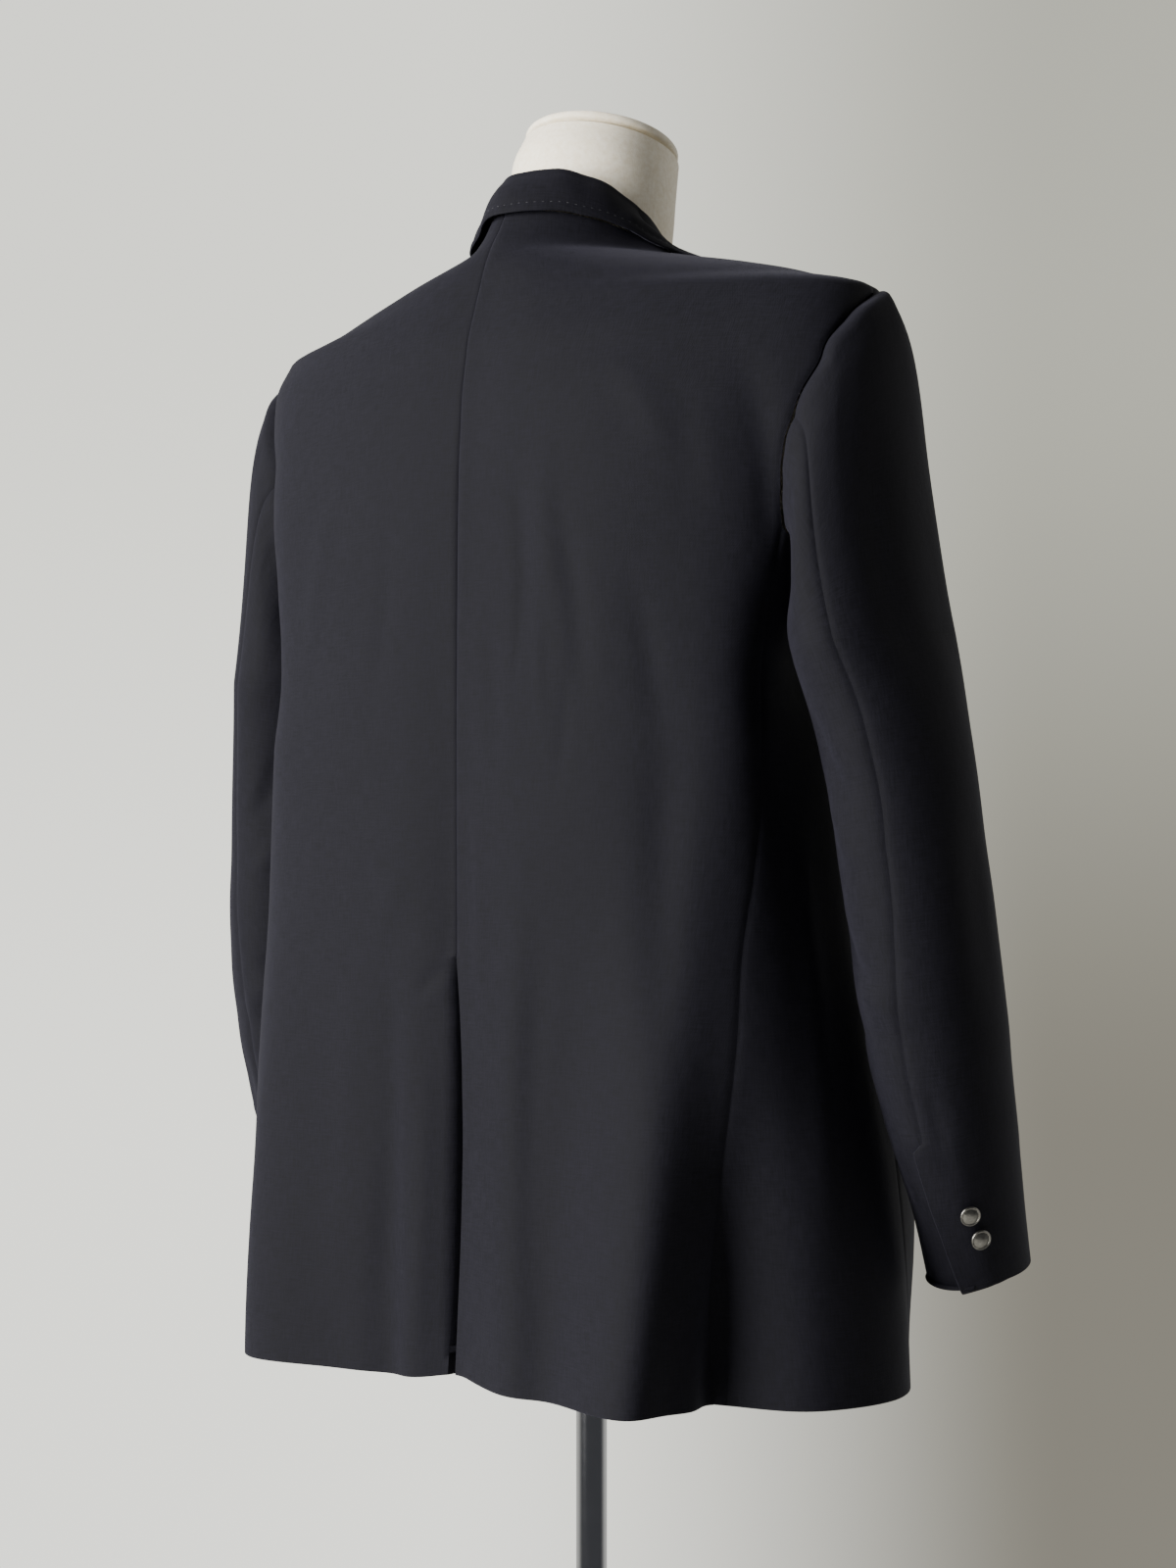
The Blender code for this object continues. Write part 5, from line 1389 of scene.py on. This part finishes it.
def make_button(node, finish):
    """A metal button where the node's button is: a rim round a low dome."""
    points = node_points(node)
    middle = points.mean(axis=0)
    spread = np.linalg.svd(points - middle)[2]
    axis = spread[2]
    axis = axis * np.sign(axis.dot(middle - np.array([0.0, 0.02, middle[2]])))
    reach = (points - middle).dot(axis)
    radius = np.linalg.norm((points - middle) - np.outer(reach, axis), axis=1).max()
    base = middle + axis * reach.min()
    profile = rounded([(r * radius, h * radius) for r, h in BUTTON_PROFILE], 0.05 * radius, 2)
    piece = turned("metal_" + node, profile, finish, 48, base, axis)
    stand_for(piece, node)


# ---- the form -------------------------------------------------------------------------------
def form_ring(height, sides):
    at = {name: float(read(FORM_COLUMNS, FORM_ROWS, name, height)) for name in FORM_COLUMNS}
    turn = np.linspace(0.0, 2 * math.pi, sides, endpoint=False)
    middle = 0.5 * (at["back"] + at["front"])
    reach = 0.5 * (at["back"] - at["front"])
    x = at["half_width"] * np.sin(turn)
    y = middle + reach * np.cos(turn)
    z = height + HEM_Z + (y - middle) * math.tan(math.radians(at["tilt"]))
    return np.stack([x, y, z], axis=1)


def make_form(finish):
    sides = 96
    heights = np.linspace(FORM_ROWS[0][0], FORM_ROWS[-1][0], 150)
    rings = [form_ring(height, sides) for height in heights]
    rings[0] = rings[0] * np.array([0.985, 0.985, 1.0])
    points = np.concatenate(rings + [rings[0].mean(axis=0)[None], rings[-1].mean(axis=0)[None]])
    faces = []
    low_centre = len(points) - 2
    high_centre = len(points) - 1
    top = (len(rings) - 1) * sides
    for k in range(sides):
        n = (k + 1) % sides
        for ring in range(len(rings) - 1):
            first = ring * sides
            faces.append((first + n, first + k, first + sides + k, first + sides + n))
        faces.append((k, n, low_centre))
        faces.append((top + n, top + k, high_centre))
    piece = mesh_object("cover_form_torso", points, faces, np.zeros((len(points), 2)), finish)
    stand_for(piece, "form_torso")


CAP_MIDDLE = (-0.0120, 0.8755)
CAP_RADIUS = 0.0565
CAP_TILT = 13.8
CAP_SINK = 0.0040
CAP_PROFILE = ((0.0, 0.0), (0.93, 0.0), (1.0, 0.03), (1.0, 0.09), (0.97, 0.125), (0.75, 0.145),
               (0.0, 0.155))


def make_cap(finish):
    profile = rounded([(r * CAP_RADIUS, h * CAP_RADIUS) for r, h in CAP_PROFILE], 0.0015)
    tilt = math.radians(CAP_TILT)
    place = (0.0, CAP_MIDDLE[0], CAP_MIDDLE[1] + HEM_Z - CAP_SINK)
    piece = turned("cover_neck_cap", profile, finish, 96, place, (0.0, -math.sin(tilt), math.cos(tilt)))
    stand_for(piece, "neck_cap")


def make_stand(finish):
    """The pole and the base, turned finer than their nodes."""
    low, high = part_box("pole")
    radius = 0.5 * (high[0] - low[0])
    profile = ((0.0, low[2]), (radius, low[2]), (radius, high[2]), (0.0, high[2]))
    pole = turned("chrome_pole", rounded(profile, 0.0008), finish, 72)
    stand_for(pole, "pole")
    low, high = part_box("base")
    radius = 0.5 * (high[0] - low[0])
    plate = 0.014
    profile = ((0.0, 0.0), (radius, 0.0), (radius, 0.6 * plate), (radius - 0.006, plate),
               (0.028, plate), (0.022, high[2]), (0.0, high[2]))
    base = turned("chrome_base", rounded(profile, 0.0020), finish, 128)
    stand_for(base, "base")


# ---- stage, light and camera ----------------------------------------------------------------
CAMERA_PLACE = (-1.1955, 1.6455, 1.063)
CAMERA_TURN = 36.073       # degrees from looking along -Y, towards +X
CAMERA_RISE = 0.721        # degrees above level
CAMERA_LENS = 64.125       # for a 36 mm long side


def make_stage():
    piece = turned("floor", ((0.0, -0.004), (1.72, -0.004), (1.72, -0.0005), (0.0, -0.0005)),
                   plain_floor(), 128)


def area_light(name, place, target, size, power, colour):
    data = bpy.data.lights.new(name, "AREA")
    data.shape = "RECTANGLE"
    data.size, data.size_y = size
    data.energy = power
    data.color = colour
    light = bpy.data.objects.new(name, data)
    light.location = place
    light.rotation_euler = (Vector(target) - Vector(place)).to_track_quat("-Z", "Y").to_euler()
    bpy.context.scene.collection.objects.link(light)


# Colours of the wall behind, with painted light: its side lit by the window and its side in painted
# shade, below and above; and the colours of the light from the room.
WALL_BRIGHT = (1.62, 1.62, 1.49)
WALL_DIM = (0.265, 0.250, 0.208)
WALL_TOP_BRIGHT = (1.34, 1.34, 1.22)
WALL_TOP_DIM = (0.60, 0.595, 0.51)
ROOM_DARK = (0.060, 0.062, 0.068)
ROOM_PALE = (0.62, 0.62, 0.59)


def facing(tree, ray, direction):
    """How far a ray points in one level direction."""
    node = tree.add("ShaderNodeVectorMath", operation="DOT_PRODUCT")
    node.inputs[1].default_value = direction
    tree.link(ray, node.inputs[0])
    return node.outputs["Value"]


def backdrop(tree):
    """Colour of the plain wall behind the form, with painted light: lit by the window on one side, in
    painted shade, dimmer and warmer, on the other.
    """
    ray = tree.add("ShaderNodeTexCoord").outputs["Generated"]
    level = tree.add("ShaderNodeSeparateXYZ")
    tree.link(ray, level.inputs["Vector"])
    across = facing(tree, ray, (0.809, 0.588, 0.0))
    # painted light: the wall is brighter toward the window's side and in painted shade away from it
    painted_window_light = tree.ranged(across, (-0.165, 0.06), curve="SMOOTHSTEP")
    upward = tree.ranged(level.outputs["Z"], (-0.12, 0.20), curve="SMOOTHSTEP")
    low = tree.mix(painted_window_light, WALL_DIM, WALL_BRIGHT)
    high = tree.mix(painted_window_light, WALL_TOP_DIM, WALL_TOP_BRIGHT)
    return tree.mix(upward, low, high)


def room(tree):
    """Light that comes back from the room: a pale wall in front, a dark room behind."""
    ray = tree.add("ShaderNodeTexCoord").outputs["Generated"]
    forward = facing(tree, ray, (0.588, -0.809, 0.0))
    ahead = tree.ranged(forward, (-0.35, 0.70), curve="SMOOTHSTEP")
    return tree.mix(ahead, ROOM_DARK, ROOM_PALE)


def make_lights():
    middle = (0.0, 0.0, 1.15)
    area_light("window", (1.20, 2.77, 1.70), middle, (1.5, 2.0), 345.0, (1.0, 0.99, 0.98))
    area_light("far_fill", (-2.4, -1.6, 2.0), middle, (2.4, 2.4), 20.0, (1.0, 0.98, 0.95))
    world = bpy.data.worlds.new("pale room")
    bpy.context.scene.world = world
    world.use_nodes = True
    tree = Tree(world.node_tree)
    shown = tree.tree.nodes["Background"]
    dim = tree.add("ShaderNodeBackground")
    for background, colour in ((shown, backdrop(tree)), (dim, room(tree))):
        background.inputs["Strength"].default_value = 1.0
        tree.link(colour, background.inputs["Color"])
    # the camera sees the wall; every other ray meets the room
    choice = tree.add("ShaderNodeMixShader")
    tree.link(tree.add("ShaderNodeLightPath").outputs["Is Camera Ray"], choice.inputs["Fac"])
    tree.link(dim.outputs["Background"], choice.inputs[1])
    tree.link(shown.outputs["Background"], choice.inputs[2])
    tree.link(choice.outputs["Shader"], tree.tree.nodes["World Output"].inputs["Surface"])


def make_camera():
    data = bpy.data.cameras.new("camera")
    data.lens = CAMERA_LENS
    data.sensor_width = 36.0
    camera = bpy.data.objects.new("camera", data)
    turn = math.radians(CAMERA_TURN)
    rise = math.radians(CAMERA_RISE)
    look = Vector((math.sin(turn) * math.cos(rise), -math.cos(turn) * math.cos(rise), math.sin(rise)))
    camera.location = CAMERA_PLACE
    camera.rotation_euler = look.to_track_quat("-Z", "Y").to_euler()
    bpy.context.scene.collection.objects.link(camera)
    bpy.context.scene.camera = camera


def main():
    cloth = wool()
    stitch = thread()
    for side in ("left", "right"):
        make_back(side, cloth)
        make_side(side, cloth)
        make_front(side, cloth)
        make_sleeve(side, cloth)
        outer, normal = make_lapel(side, cloth)
        path, square = path_inside(outer[:, ::-1], normal[:, ::-1], EDGE_STITCH_IN)
        stitch_row("stitches_lapel_" + side, path, square, stitch)
    outer, normal = make_collar(cloth)
    path, square = path_inside(outer, normal, EDGE_STITCH_IN)
    stitch_row("stitches_collar", path, square, stitch)
    silver = metal("silver button", (0.085, 0.080, 0.070), (0.30, 0.29, 0.26), 0.26, 0.42, 700.0,
                   0.00045)
    for node in sorted(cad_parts):
        if "button" in node:
            make_button(node, silver)
    cover = linen()
    make_form(cover)
    make_cap(cover)
    make_stand(metal("polished chrome", (0.60, 0.60, 0.61), (0.68, 0.68, 0.69), 0.06, 0.12, 90.0))
    make_stage()
    make_lights()
    make_camera()


main()
